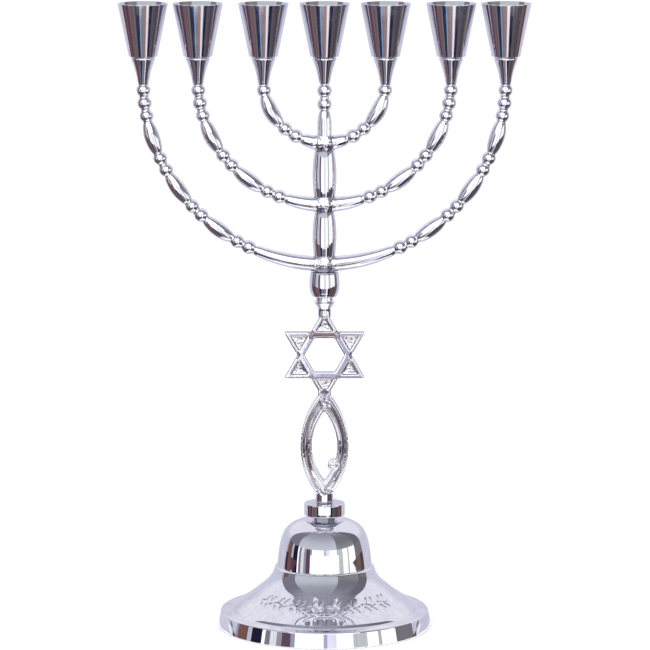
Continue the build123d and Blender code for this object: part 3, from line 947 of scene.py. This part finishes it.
@dataclass
class CandleCup:
    """A conical cup with a thin wall, a crisp lip and a drilled floor."""

    foot_radius: float = 5.75 * MM
    wall: float = 0.9 * MM
    floor: float = 1.2 * MM
    hole: float = 1.75 * MM
    count: int = 7

    def build(self, finishes: Finishes) -> list[bpy.types.Object]:
        """Turn one cup, copy it to all seven places and dress the copies."""
        low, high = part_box("candle_cup_4")
        rim = high.x
        steps = 8
        outside = []
        inside = []
        floor = low.z + self.floor
        flare = rim - self.foot_radius
        for step in range(steps + 1):
            share = step / steps
            radius = self.foot_radius + flare * share
            outside.append((radius, low.z + (high.z - low.z) * share))
            inside.append((radius - self.wall, floor + (high.z - floor) * share))
        outline = [(self.hole, low.z), *outside, *reversed(inside), (self.hole, low.z + self.floor)]
        model = Turned("cup_model", outline, 128, edge=0.1 * MM).build()
        cups = []
        for number in range(1, self.count + 1):
            node = f"candle_cup_{number}"
            place_low, place_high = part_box(node)
            cup = model.copy()
            cup.data = model.data.copy()
            bpy.context.scene.collection.objects.link(cup)
            cup.name = f"cup_{number}"
            cup.location = ((place_low.x + place_high.x) / 2, 0, 0)
            Bench.settle(cup)
            dress(cup, finishes.cup, Slot.CUP, node)
            cups.append(cup)
        bpy.data.objects.remove(model)
        return cups


# --------------------------------------------------------------------------- castings


@dataclass
class Beading:
    """Radius of a beaded arm along its length, from the seat under the cup to the plain middle."""

    pattern: str
    bead: float = 2.88 * MM
    bead_pitch: float = 5.2 * MM
    olive: float = 3.1 * MM
    olive_pitch: float = 12.8 * MM
    olive_end: float = 2.0 * MM
    neck: float = 1.85 * MM
    middle: float = 3.15 * MM
    middle_end: float = 2.1 * MM
    tip: float = 4.9 * MM
    tip_foot: float = 2.2 * MM
    tip_height: float = 11.0 * MM
    tip_shoulder: float = 1.0 * MM
    tip_hollow: float = 0.35 * MM
    groove: float = 0.35 * MM

    def tip_radius(self, depth: float) -> float:
        """Radius of the taper at a depth below the cup's seat."""
        if depth < self.tip_shoulder:
            share = 1 - depth / self.tip_shoulder
            return self.tip - self.tip_shoulder * (1 - math.sqrt(max(0.0, 1 - share * share)))
        share = (depth - self.tip_shoulder) / (self.tip_height - self.tip_shoulder)
        straight = self.tip + (self.tip_foot - self.tip) * share
        return straight - self.tip_hollow * math.sin(math.pi * share)

    def bead_radius(self, kind: str, share: float, serial: int) -> float:
        """Radius within one bead or olive.

        Args:
            kind: B for a bead, L for an olive.
            share: 0 to 1 along it.
            serial: Its number, from which its slight unevenness follows.

        Returns:
            The radius.
        """
        away = abs(2 * share - 1)
        uneven = 1 + 0.02 * math.sin(2.4 * serial)
        if kind == "B":
            radius = self.bead * uneven
            along = away * self.bead_pitch / 2
            return max(self.neck, math.sqrt(max(0.0, radius**2 - along**2)))
        edge = min(1.0, (1 - away) * self.olive_pitch / 2 / self.groove)
        body = self.olive * uneven - (self.olive - self.olive_end) * away**2.2
        return self.neck + (body - self.neck) * math.sqrt(edge)

    def middle_radius(self, share: float) -> float:
        """Radius of the plain length, share 0 at its outer end and 1 at the stem."""
        rise = min(1.0, share / 0.04) ** 0.5
        swelling = self.middle_end + (self.middle - self.middle_end) * math.sin(math.pi / 2 * share) ** 0.8
        return self.neck + (swelling - self.neck) * rise

    def stations(self, total: float) -> list[tuple[float, float]]:
        """Distances and radii for every ring of a half arm.

        Args:
            total: Length from the cup's seat to the stem.

        Returns:
            Pairs of distance and radius, outermost first.
        """
        rounded = (0.0, 0.06, 0.15, 0.3, 0.5, 0.75, 1.0)
        rings = [(depth * MM, self.tip_radius(depth * MM)) for depth in rounded]
        taper = self.tip_height - self.tip_shoulder
        for step in range(1, 13):
            depth = self.tip_shoulder + taper * step / 12
            rings.append((depth, self.tip_radius(depth)))
        start = self.tip_height
        for serial, kind in enumerate(self.pattern):
            pitch = self.bead_pitch if kind == "B" else self.olive_pitch
            steps = 14 if kind == "B" else 24
            for step in range(1, steps + 1):
                share = (1 - math.cos(math.pi * step / steps)) / 2
                rings.append((start + pitch * share, self.bead_radius(kind, share, serial)))
            start += pitch
        steps = max(8, int((total - start) / (1.2 * MM)))
        for step in range(1, steps + 1):
            share = step / steps
            rings.append((start + (total - start) * share, self.middle_radius(share)))
        return rings


@dataclass
class Branch:
    """A pair of beaded arms in one casting with its hub and two tapers."""

    node: str
    beading: Beading
    segments: int = 28
    hub_radius: float = 4.0 * MM
    hub_depth: float = 3.3 * MM
    hub_half: float = 3.2 * MM
    hub_flare: float = 1.1 * MM
    seam_reach: float = 6.5 * MM
    seam_height: float = 0.22 * MM
    grain: float = 0.27 * MM
    passes: int = 3
    reach: float = field(init=False)
    drop: float = field(init=False)
    level: float = field(init=False)
    seat: float = field(init=False)

    def __post_init__(self) -> None:
        """Take the arc's size and place from the frame."""
        low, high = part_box(self.node)
        self.reach = high.x - self.beading.tip
        self.seat = high.z
        self.level = self.seat - self.beading.tip_height + self.beading.tip_shoulder / 2
        self.drop = self.level - (low.z + max(self.beading.middle, self.hub_half))

    def way(self, steps: int = 2400) -> list[tuple[float, float, float, float]]:
        """The right-hand half of the centre line.

        Args:
            steps: Number of steps along the quarter ellipse.

        Returns:
            Tuples of distance from the seat, x, z and direction, as an angle from straight down.
        """
        straight = self.seat - self.level
        line = [(0.0, self.reach, self.seat, 0.0), (straight, self.reach, self.level, 0.0)]
        travelled = straight
        before = (self.reach, self.level)
        for step in range(1, steps + 1):
            angle = math.pi / 2 * step / steps
            x = self.reach * math.cos(angle)
            z = self.level - self.drop * math.sin(angle)
            travelled += math.hypot(x - before[0], z - before[1])
            lean = math.atan2(self.reach * math.sin(angle), self.drop * math.cos(angle))
            line.append((travelled, x, z, lean))
            before = (x, z)
        return line

    def half_arm(self) -> bpy.types.Object:
        """Draw the right-hand arm ring by ring from the cup's seat to the stem."""
        line = self.way()
        total = line[-1][0]
        rings = self.beading.stations(total)
        centre = Vector((self.reach, 0, self.seat))
        radius = rings[0][1]
        arm = Bench.ring(self.node, radius, centre, self.segments)
        Bench.close_end()
        lean = 0.0
        mark = 0
        for distance, next_radius in rings[1:]:
            while mark < len(line) - 2 and line[mark + 1][0] < distance:
                mark += 1
            d0, x0, z0, a0 = line[mark]
            d1, x1, z1, a1 = line[mark + 1]
            share = min(1.0, (distance - d0) / (d1 - d0))
            place = Vector((x0 + (x1 - x0) * share, 0, z0 + (z1 - z0) * share))
            next_lean = a0 + (a1 - a0) * share
            bpy.ops.mesh.extrude_region_move(TRANSFORM_OT_translate={"value": place - centre})
            turn = next_lean - lean
            if abs(turn) > 1e-6:
                bpy.ops.transform.rotate(value=-turn, orient_axis="Y", center_override=place)
            swell = next_radius / radius
            bpy.ops.transform.resize(value=(swell, swell, swell), center_override=place)
            centre, radius, lean = place, next_radius, next_lean
        Bench.finish_edit(0.002 * MM)
        return arm

    def hub(self) -> bpy.types.Object:
        """The upright boss on the stem, with a hollow flare towards the barrels' ends."""
        middle = self.level - self.drop
        outline = []
        steps = 10
        for step in range(steps + 1):
            height = -self.hub_half + 2 * self.hub_half * step / steps
            away = abs(height) / self.hub_half
            outline.append((self.hub_radius + self.hub_flare * (1 - away) ** 1.5, middle + height))
        full = [(0.05 * MM, outline[0][1]), *outline, (0.05 * MM, outline[-1][1])]
        piece = Turned(self.node + "_hub", full, 48, edge=0.0).build()
        piece.scale = (1.0, self.hub_depth / self.hub_radius, 1.0)
        Bench.settle(piece)
        return piece

    def roughen_seam(self, piece: bpy.types.Object) -> None:
        """Leave the front of the crossing uneven, where the joint was filled and not fully dressed."""
        middle = self.level - self.drop

        def rule(place: Vector, normal: Vector) -> Vector:
            """Shift of one corner."""
            away = math.hypot(place.x / self.seam_reach, (place.z - middle) / (2.6 * MM))
            if away >= 1 or normal.y > -0.25:
                return Vector()
            lumps = noise.fractal(place * 900.0, 0.8, 2.1, 3)
            return normal * (self.seam_height * lumps * (1 - away * away))

        Bench.move_points(piece, rule)

    def build(self, finishes: Finishes) -> bpy.types.Object:
        """Model the arms, fuse them with the hub and dress the casting."""
        arm = self.half_arm()
        Bench.mirror_x(arm)
        casting = Bench.join(arm, self.hub())
        Bench.cast(casting, self.grain, self.passes)
        self.roughen_seam(casting)
        casting.name = self.node.replace("branch", "arms")
        Bench.smooth(casting, 60)
        dress(casting, finishes.cast, Slot.CAST, self.node)
        return casting


@dataclass
class StemTop:
    """The middle cup's taper with two beads on a half barrel."""

    beading: Beading
    foot_radius: float = 2.9 * MM
    half_barrel: float = 9.6 * MM
    taper_start: float = 0.35
    taper_power: float = 2.2
    taper_room: float = 0.4
    beads: int = 2
    bore: float = 0.3 * MM

    def build(self, finishes: Finishes) -> bpy.types.Object:
        """Turn the piece, shade it smooth and dress it."""
        low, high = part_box("stem_top")
        tip_foot = high.z - self.beading.tip_height
        shoulder = low.z + self.half_barrel
        side = []
        steps = 18
        for step in range(steps + 1):
            share = step / steps
            shrink = (self.foot_radius - self.beading.olive_end) / self.taper_room
            radius = self.foot_radius - shrink * max(0.0, share - self.taper_start) ** self.taper_power
            side.append((max(radius, self.beading.neck), low.z + self.half_barrel * share))
        pitch = (tip_foot - shoulder) / self.beads
        for number in range(self.beads):
            for step in range(1, 13):
                share = (1 - math.cos(math.pi * step / 12)) / 2
                radius = self.beading.bead_radius("B", share, number)
                side.append((radius, shoulder + pitch * (number + share)))
        taper = []
        for step in range(1, 19):
            depth = self.beading.tip_height * (1 - step / 18)
            taper.append((self.beading.tip_radius(depth), high.z - depth))
        outline = [(self.bore, low.z), *side, *taper, (self.bore, high.z)]
        piece = Turned("stem_finial", outline, 72, edge=0.0).build()
        Bench.smooth(piece, 50)
        dress(piece, finishes.cast, Slot.CAST, "stem_top")
        return piece


@dataclass
class SealPanel:
    """Boss, fish and star in one flat casting with dappled sunk fields; shares are of a limb's width."""

    grain: float = 0.23 * MM
    passes: int = 8
    relief_passes: int = 11
    hammer_height: float = 0.14 * MM
    face: float = 2.3 * MM
    floor: float = 1.2 * MM
    fish_size: tuple[float, float] = (19.5 * MM, 47.0 * MM)
    window_size: tuple[float, float] = (10.3 * MM, 28.6 * MM)
    groove_depth: float = 0.62 * MM
    groove_lean: float = 0.2
    groove_half: float = 0.45
    groove_end: float = 0.42
    groove_shallow: tuple[float, float] = (0.5, 2.2)
    star_radius: float = 18.9 * MM
    star_overlap: float = 5.0 * MM
    bar_half: float = 1.2 * MM
    bar_tilt: float = 0.32
    lozenge: tuple[float, float, float] = (1.15 * MM, 1.9 * MM, 0.7 * MM)
    waist_lozenge: tuple[float, float, float] = (1.35 * MM, 3.1 * MM, 0.8 * MM)
    nose_rise: float = 0.4 * MM
    nose_half: float = 0.65 * MM
    nose_slope: float = 1.3
    nose_level: float = 4.2 * MM
    nose_span: tuple[float, float] = (0.4 * MM, 3.8 * MM)
    eye: tuple[float, float] = (3.5 * MM, -7.9 * MM)
    eye_rim: float = 1.75 * MM
    # Hollow depth past which the darker, brownish colour starts; it is full at twice this depth.
    full_tint_depth: float = 0.24 * MM
    bead: float = 1.58 * MM
    bead_rise: float = 17.2 * MM

    @staticmethod
    def oval(size: tuple[float, float], x: float, z: float) -> float:
        """How far inside a pointed oval a point lies.

        Args:
            size: The oval's width and length.
            x: Distance from its long axis.
            z: Height from its middle.

        Returns:
            The distance to its edge, negative outside.
        """
        width, length = size
        radius = (length**2 + width**2) / (4 * width)
        return radius - math.hypot(abs(x) + radius - width / 2, z)

    @staticmethod
    def lozenge_share(size: tuple[float, float, float], x: float, z: float) -> float:
        """Depth share of a sunk lozenge at a place measured from its centre."""
        return max(0.0, min(1.0, 2.5 * (1 - abs(x) / size[0] - abs(z) / size[1])))

    def relief(self, x: float, fish_z: float, star_z: float) -> float:
        """How much a point of the face moves outwards.

        Args:
            x: Distance from the stem's plane.
            fish_z: Height from the fish's middle.
            star_z: Height from the star's middle.

        Returns:
            The shift, negative into the casting.
        """
        shift = 0.0
        outer = self.oval(self.fish_size, x, fish_z)
        inner = -self.oval(self.window_size, x, fish_z)
        if outer > 0 and inner > 0 and abs(fish_z) < self.groove_end * self.fish_size[1]:
            across = abs(2 * inner / (inner + outer) - 1 + math.copysign(self.groove_lean, x))
            start, slope = self.groove_shallow
            depth = self.groove_depth * min(1.0, start + slope * abs(fish_z) / self.fish_size[1])
            shift -= depth * max(0.0, 1 - across / self.groove_half)
        shift -= self.waist_lozenge[2] * self.lozenge_share(
            self.waist_lozenge, x, fish_z - self.fish_size[1] / 2 + self.star_overlap / 3
        )
        corner = self.star_radius / math.sqrt(3)
        for turn in range(6):
            angle = math.radians(60 * turn)
            away_x, away_z = x - corner * math.cos(angle), star_z - corner * math.sin(angle)
            shift -= self.lozenge[2] * self.lozenge_share(self.lozenge, away_x, away_z)
        bar = star_z - self.star_radius / 2 + self.bar_half
        if abs(bar) < self.bar_half and abs(x) < self.star_radius / 3:
            shift += self.bar_tilt * (bar - self.bar_half)
        nose = fish_z + self.fish_size[1] / 2 - self.nose_level - self.nose_slope * abs(x)
        width = self.nose_half * math.hypot(1, self.nose_slope)
        if abs(nose) < width and self.nose_span[0] < abs(x) < self.nose_span[1] and inner > 0:
            shift += self.nose_rise * (1 - (nose / width) ** 2)
        return shift

    def face_shift(self, place: Vector, normal: Vector, fish: float, star: float) -> float:
        """How far one corner of the casting moves outwards.

        Args:
            place: The corner.
            normal: Its normal.
            fish: Height of the fish's middle.
            star: Height of the star's middle.

        Returns:
            The shift, negative into the casting.
        """
        depth = abs(place.y)
        if abs(normal.y) < 0.45 or depth < self.floor - 0.4 * MM:
            return 0.0
        off = math.hypot(place.x, place.z - fish - self.bead_rise)
        if place.y < 0 and off < self.bead:
            return max(0.0, self.face + math.sqrt(self.bead**2 - off**2) - depth)
        if math.hypot(place.x - self.eye[0], place.z - fish - self.eye[1]) < self.eye_rim + 0.8 * MM:
            return 0.0
        sunk = depth < self.floor + 0.45 * MM and abs(place.z - star) < 0.85 * self.star_radius
        if sunk and abs(normal.y) > 0.75:
            return self.hammer_height * (noise.noise(place * 1300.0) + 0.6 * noise.noise(place * 2900.0))
        return max(self.relief(place.x, place.z - fish, place.z - star), self.floor - depth - 0.3 * MM)

    def chase(self, piece: bpy.types.Object, fish: float, star: float) -> None:
        """Cut the relief into both faces, and note where the darker, brownish colour goes.

        It goes in the hollows, fuller in deeper ones, and on the walls round the star's fields.

        Args:
            piece: The casting.
            fish: Height of the fish's middle.
            star: Height of the star's middle.
        """
        film = []

        def rule(place: Vector, normal: Vector) -> Vector:
            """Shift of one corner."""
            shift = self.face_shift(place, normal, fish, star)
            depth = abs(place.y) - self.floor
            wall = 0.2 * MM < depth < 0.85 * MM and abs(place.z - star) < self.star_radius
            film.append(1.0 if wall else min(1.0, max(0.0, -shift / self.full_tint_depth - 1)))
            return Vector((0, shift * math.copysign(1, place.y), 0))

        Bench.move_points(piece, rule)
        # Share of the darker, brownish colour at each corner.
        piece.data.attributes.new("film", "FLOAT", "POINT").data.foreach_set("value", film)

    def build(self, finishes: Finishes) -> bpy.types.Object:
        """Soften a merged copy of the frame's panel as a casting, chase its faces and dress it."""
        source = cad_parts["seal_panel"]
        Bench.clear()
        piece = bpy.data.objects.new("seal_casting", source.data.copy())
        bpy.context.scene.collection.objects.link(piece)
        Bench.take(piece)
        bpy.ops.object.mode_set(mode="EDIT")
        Bench.finish_edit(0.002 * MM)
        Bench.cast(piece, self.grain, self.passes, self.relief_passes)
        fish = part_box("seal_panel")[0].z + 0.1 * MM + self.fish_size[1] / 2
        star = fish + self.fish_size[1] / 2 - self.star_overlap + self.star_radius
        self.chase(piece, fish, star)
        Bench.smooth(piece, 60)
        dress(piece, finishes.panel, Slot.CAST, "seal_panel")
        return piece


class Fasteners:
    """The steel screws, washer and rod, which keep their own shapes."""

    nodes: tuple[str, ...] = ("cup_screws", "base_screw", "base_washer", "tie_rod")

    def build(self, finishes: Finishes) -> None:
        """Give every fastener the screw steel."""
        for node in self.nodes:
            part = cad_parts[node]
            part.data.materials.clear()
            part.data.materials.append(finishes.steel)
            log.info("%s: steel", node)


# --------------------------------------------------------------------------- studio


Colour = tuple[float, float, float]
Row = tuple[float, float, Colour]


def seen(red: int, green: int, blue: int, gain: float = 1.0) -> Colour:
    """The glow that shows as a given screen colour when it is mirrored in the plate.

    Args:
        red: Red of the screen colour, 0 to 255.
        green: Green of it.
        blue: Blue of it.
        gain: Extra brightness.

    Returns:
        The linear colour.
    """
    plate = (0.8, 0.8, 0.87)
    tones = zip((red, green, blue), plate)
    return tuple(gain * ((part / 255 + 0.055) / 1.055) ** 2.4 / shine for part, shine in tones)


@dataclass(frozen=True)
class Card:
    """A painted reflection: a glowing strip curved about the stem, seen only in the metal.

    Its rows are rings of radius, height and glow, and the glow runs smoothly from row to row.
    """

    name: str
    azimuth: tuple[float, float]
    rows: tuple[Row, ...]

    @staticmethod
    def dome(*stops: tuple[float, Colour], reach: float = 2.6) -> tuple[Row, ...]:
        """Rows on a dome from elevations in degrees with their colours."""
        rows = []
        for elevation, colour in stops:
            angle = math.radians(elevation)
            rows.append((reach * math.cos(angle), 0.004 + reach * math.sin(angle), colour))
        return tuple(rows)

    @staticmethod
    def table(near: float, far: float, colour: Colour, height: float = 0.003) -> tuple[Row, ...]:
        """Two rows just over the floor."""
        return ((near, height, colour), (far, height, colour))

    def build(self, glow: bpy.types.Material) -> bpy.types.Object:
        """Make the strip and hide it from everything but reflections."""
        steps = max(1, round(abs(self.azimuth[1] - self.azimuth[0]) / 2))
        corners = []
        for step in range(steps + 1):
            angle = math.radians(self.azimuth[0] + (self.azimuth[1] - self.azimuth[0]) * step / steps)
            across, ahead = math.sin(angle), -math.cos(angle)
            corners += [(radius * across, radius * ahead, z) for radius, z, _ in self.rows]
        count = len(self.rows)
        faces = []
        for step in range(steps):
            for row in range(count - 1):
                first = step * count + row
                faces.append((first, first + 1, first + count + 1, first + count))
        mesh = bpy.data.meshes.new(self.name)
        mesh.from_pydata(corners, [], faces)
        tones = mesh.color_attributes.new("tone", "FLOAT_COLOR", "POINT")
        for number, value in enumerate(tones.data):
            value.color = (*self.rows[number % count][2], 1.0)
        mesh.materials.append(glow)
        card = bpy.data.objects.new(self.name, mesh)
        bpy.context.scene.collection.objects.link(card)
        card.visible_camera = False
        card.visible_diffuse = False
        card.visible_shadow = False
        return card


@dataclass
class Studio:
    """Pale floor, even sky, soft lamps, glowing cards that paint reflections in the metal, and the camera.

    Azimuths are degrees from the front, to the right; the cards' front half ends at the side limit.
    """

    camera_distance: float = 1.676
    camera_height: float = 0.406
    camera_side: float = 0.0002
    pitch: float = 9.555
    lens: float = 233.06
    sky: tuple[float, float, float] = (1.0, 1.0, 1.0)
    sky_strength: float = 1.08
    floor_colour: tuple[float, float, float] = (0.93, 0.93, 0.93)
    wall_top: float = 14.5
    side_limit: float = 110.0
    near_table: tuple[float, float] = (0.046, 0.11)
    table_level: float = 0.0006
    lavender: Colour = seen(200, 200, 221)

    def glow(self) -> bpy.types.Material:
        """The cards' painted reflections: their own tone, a little cloudy."""
        material = bpy.data.materials.new("painted_reflection_glow")
        material.use_nodes = True
        nodes, links = material.node_tree.nodes, material.node_tree.links
        nodes.clear()
        tone = nodes.new("ShaderNodeAttribute")
        tone.attribute_name = "tone"
        place = nodes.new("ShaderNodeTexCoord")
        cloud = nodes.new("ShaderNodeTexNoise")
        cloud.inputs["Scale"].default_value = 9.0
        cloud.inputs["Detail"].default_value = 3.0
        links.new(place.outputs["Object"], cloud.inputs["Vector"])
        span = nodes.new("ShaderNodeMapRange")
        span.inputs["From Min"].default_value = 0.3
        span.inputs["From Max"].default_value = 0.7
        span.inputs["To Min"].default_value = 0.86
        span.inputs["To Max"].default_value = 1.1
        links.new(cloud.outputs["Fac"], span.inputs["Value"])
        light = nodes.new("ShaderNodeEmission")
        links.new(tone.outputs["Color"], light.inputs["Color"])
        links.new(span.outputs["Result"], light.inputs["Strength"])
        out = nodes.new("ShaderNodeOutputMaterial")
        links.new(light.outputs["Emission"], out.inputs["Surface"])
        return material

    def wall_reflection_cards(self) -> list[Card]:
        """Painted reflections of upright stripes round the front, from the floor to the ceiling's edge; the
        white ones are painted highlights.
        """
        # Painted reflections: each stripe glows in its own tone, and the white ones, with extra gain, are
        # painted highlights.
        white = seen(250, 250, 255, 1.25)
        strips = (
            (-110, -106, seen(150, 146, 168)),
            (-106, -91, seen(118, 84, 80)),
            (-91, -85, seen(188, 188, 205)),
            (-85, -71, seen(32, 28, 52)),
            (-71, -67, white),
            (-67, -61, seen(125, 125, 138)),
            (-61, -53, seen(225, 225, 235)),
            (-53, -47, seen(150, 150, 162)),
            (-47, -37, seen(92, 72, 88)),
            (-37, -32, seen(150, 150, 180)),
            (-32, -1, white),
            (-1, 3, seen(172, 172, 208)),
            (3, 13, seen(232, 232, 250)),
            (13, 31, white),
            (31, 47, seen(192, 196, 202)),
            (47, 60, white),
            (60, 64, seen(185, 185, 192)),
            (64, 83, white),
            (83, 110, seen(118, 114, 122)),
        )
        cards = []
        for number, (first, last, colour) in enumerate(strips):
            rows = (*Card.table(0.45, 2.6, colour, 0.002), *Card.dome((0, colour), (self.wall_top, colour)))
            cards.append(Card(f"wall_{number}", (first, last), rows))
        return cards

    def ceiling_reflection_cards(self) -> list[Card]:
        """Painted reflection of a dim ceiling over the front: bluish on the left, darker on the right."""
        left = Card.dome(
            (self.wall_top, seen(120, 118, 134)),
            (50, seen(118, 118, 134)),
            (68, seen(146, 146, 162)),
            (80, seen(160, 160, 176)),
        )
        middle = Card.dome(
            (self.wall_top, seen(196, 202, 213)),
            (30, seen(184, 189, 201)),
            (50, seen(160, 163, 178)),
            (78, seen(146, 146, 161)),
            (100, seen(150, 152, 166)),
        )
        right = Card.dome(
            (self.wall_top, seen(142, 140, 146)),
            (30, seen(116, 116, 124)),
            (50, seen(118, 118, 130)),
            (78, seen(142, 142, 158)),
            (92, seen(150, 150, 166)),
        )
        far_right = Card.dome(
            (self.wall_top, seen(104, 102, 111)),
            (60, seen(108, 106, 118)),
            (78, seen(150, 149, 164)),
        )
        # Painted reflections, seen only in the metal.
        return [
            Card("ceiling_reflection_left", (-110, -72), left),
            Card("ceiling_reflection_middle", (-72, 32), middle),
            Card("ceiling_reflection_right", (32, 84), right),
            Card("ceiling_reflection_far_right", (84, 110), far_right),
        ]

    def table_reflection_cards(self) -> list[Card]:
        """Painted reflection of a patterned table in front, which the cups and tapers look down on; the
        white strips are painted highlights.
        """
        white = seen(252, 252, 255, 1.2)
        strips = (
            (-110, -101, 0.98, seen(62, 50, 56)),
            (-101, -88, 0.84, seen(112, 80, 88)),
            (-88, -76, 0.79, seen(86, 60, 78)),
            (-76, -62, 0.70, seen(118, 90, 96)),
            (-62, -52, 0.65, seen(96, 90, 98)),
            (-52, -43, 0.62, seen(116, 106, 106)),
            (-43, -23, 0.54, seen(44, 44, 74)),
            (-23, -18, 0.51, seen(118, 172, 216)),
            (-18, -6, 0.49, seen(128, 112, 114)),
            (-6, 12, 0.49, seen(142, 118, 120)),
            (12, 25, 0.5, seen(236, 236, 248)),
            (25, 43, 0.54, seen(34, 32, 54)),
            (43, 62, 0.64, seen(86, 80, 92)),
            (62, 82, 0.74, seen(74, 70, 80)),
            (82, 98, 0.84, seen(112, 90, 86)),
            (98, 110, 0.98, seen(84, 66, 68)),
        )
        cards = []
        for number, (first, last, far, colour) in enumerate(strips):
            cards.append(Card(f"table_{number}", (first, last), Card.table(self.near_table[1], far, colour)))
        cards.append(Card("table_reflection_near", (-78, 78), Card.table(*self.near_table, white, self.table_level)))
        rows = Card.table(*self.near_table, self.lavender, self.table_level)
        cards.append(Card("table_reflection_side_left", (-self.side_limit, -78), rows))
        cards.append(Card("table_reflection_side_right", (78, self.side_limit), rows))
        # Painted highlight: a raised white strip, seen only in the metal.
        cards.append(Card("fence_highlight", (-33, 33), ((0.115, 0.024, white), (0.115, 0.041, white))))
        return cards

    def sweep_reflection_cards(self) -> list[Card]:
        """Painted reflection of a pale lavender sweep behind the object, which edges the metal."""
        pale = seen(226, 226, 240)
        rows = (
            *Card.table(self.near_table[0], 2.6, self.lavender, self.table_level),
            *Card.dome((3, self.lavender), (13, self.lavender), (27, pale)),
        )
        # Painted reflection of a pale tent over everything.
        over = Card.dome(*((elevation, pale) for elevation in (0, 22, 44, 66, 88)), reach=3.4)
        return [
            Card("sweep_reflection_left", (self.side_limit, 180), rows),
            Card("sweep_reflection_right", (-180, -self.side_limit), rows),
            Card("tent_reflection", (-180, 180), over),
        ]

    def floor(self) -> None:
        """Lay the pale floor."""
        Bench.clear()
        bpy.ops.mesh.primitive_plane_add(size=30.0)
        floor = bpy.context.active_object
        floor.name = "studio_floor"
        paint = bpy.data.materials.new("pale_floor")
        paint.use_nodes = True
        shader = paint.node_tree.nodes["Principled BSDF"]
        shader.inputs["Base Color"].default_value = (*self.floor_colour, 1.0)
        shader.inputs["Roughness"].default_value = 0.9
        shader.inputs["Specular IOR Level"].default_value = 0.1
        floor.data.materials.append(paint)

    def light(self) -> None:
        """Set the even sky and one large soft lamp from above and in front."""
        world = bpy.data.worlds.new("studio_sky")
        world.use_nodes = True
        background = world.node_tree.nodes["Background"]
        background.inputs["Color"].default_value = (*self.sky, 1.0)
        background.inputs["Strength"].default_value = self.sky_strength
        bpy.context.scene.world = world
        lamp_data = bpy.data.lights.new("soft_lamp", "AREA")
        lamp_data.energy = 18.0
        lamp_data.size = 1.4
        lamp = bpy.data.objects.new("soft_lamp", lamp_data)
        lamp.location = (-0.5, -0.9, 2.2)
        lamp.rotation_euler = (Vector((0, 0, 0.1)) - lamp.location).to_track_quat("-Z", "Y").to_euler()
        lamp.visible_glossy = False
        bpy.context.scene.collection.objects.link(lamp)

    def sparkle(self, castings: list[bpy.types.Object]) -> None:
        """Hang a small soft lamp high in front that lights only the beaded castings.

        Args:
            castings: The pieces that it lights.
        """
        lit = bpy.data.collections.new("sparkling_castings")
        bpy.context.scene.collection.children.link(lit)
        for piece in castings:
            lit.objects.link(piece)
        data = bpy.data.lights.new("sparkle", "AREA")
        data.shape = "ELLIPSE"
        data.size = 2.8
        data.size_y = 1.5
        data.energy = 14.0
        lamp = bpy.data.objects.new("sparkle", data)
        lamp.location = (-0.15, -1.35, 1.1)
        lamp.rotation_euler = (Vector((0, 0, 0.2)) - lamp.location).to_track_quat("-Z", "Y").to_euler()
        bpy.context.scene.collection.objects.link(lamp)
        lamp.light_linking.receiver_collection = lit

    def camera(self) -> None:
        """Place the camera."""
        data = bpy.data.cameras.new("view")
        data.lens = self.lens
        data.sensor_width = 36.0
        data.clip_start = 0.05
        data.clip_end = 60.0
        camera = bpy.data.objects.new("view", data)
        camera.location = (self.camera_side, -self.camera_distance, self.camera_height)
        camera.rotation_euler = (math.radians(90 - self.pitch), 0, 0)
        bpy.context.scene.collection.objects.link(camera)
        bpy.context.scene.camera = camera

    def build(self, castings: list[bpy.types.Object]) -> None:
        """Set up the whole studio.

        Args:
            castings: The pieces that the small lamp lights.
        """
        self.floor()
        self.light()
        self.sparkle(castings)
        glow = self.glow()
        for card in self.wall_reflection_cards() + self.ceiling_reflection_cards() + self.table_reflection_cards() + self.sweep_reflection_cards():
            card.build(glow)
        self.camera()
        bpy.context.scene.view_settings.view_transform = "Standard"


def write_size() -> None:
    """Bring the view layer up to date."""
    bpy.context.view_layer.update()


def main() -> None:
    """Build every piece in order, then the studio."""
    logging.basicConfig(level=logging.INFO, format="%(name)s %(message)s", force=True)
    finishes = Finishes()
    BellFoot().build(finishes)
    BaseCollar().build(finishes)
    castings = [SealPanel().build(finishes)]
    StemSocket().build(finishes)
    StemBarrel("lower_barrel", "stem_barrel_lower").build(finishes)
    StemBarrel("upper_barrel", "stem_barrel_upper").build(finishes)
    castings.append(StemTop(Beading("BB")).build(finishes))
    for node, pattern in (
        ("inner_branch", "BLBB"),
        ("middle_branch", "BBBLBBLBB"),
        ("outer_branch", "BBBLBBLBBLBB"),
    ):
        castings.append(Branch(node, Beading(pattern)).build(finishes))
    CandleCup().build(finishes)
    Fasteners().build(finishes)
    Studio().build(castings)
    write_size()


if __name__ == "__main__":
    main()
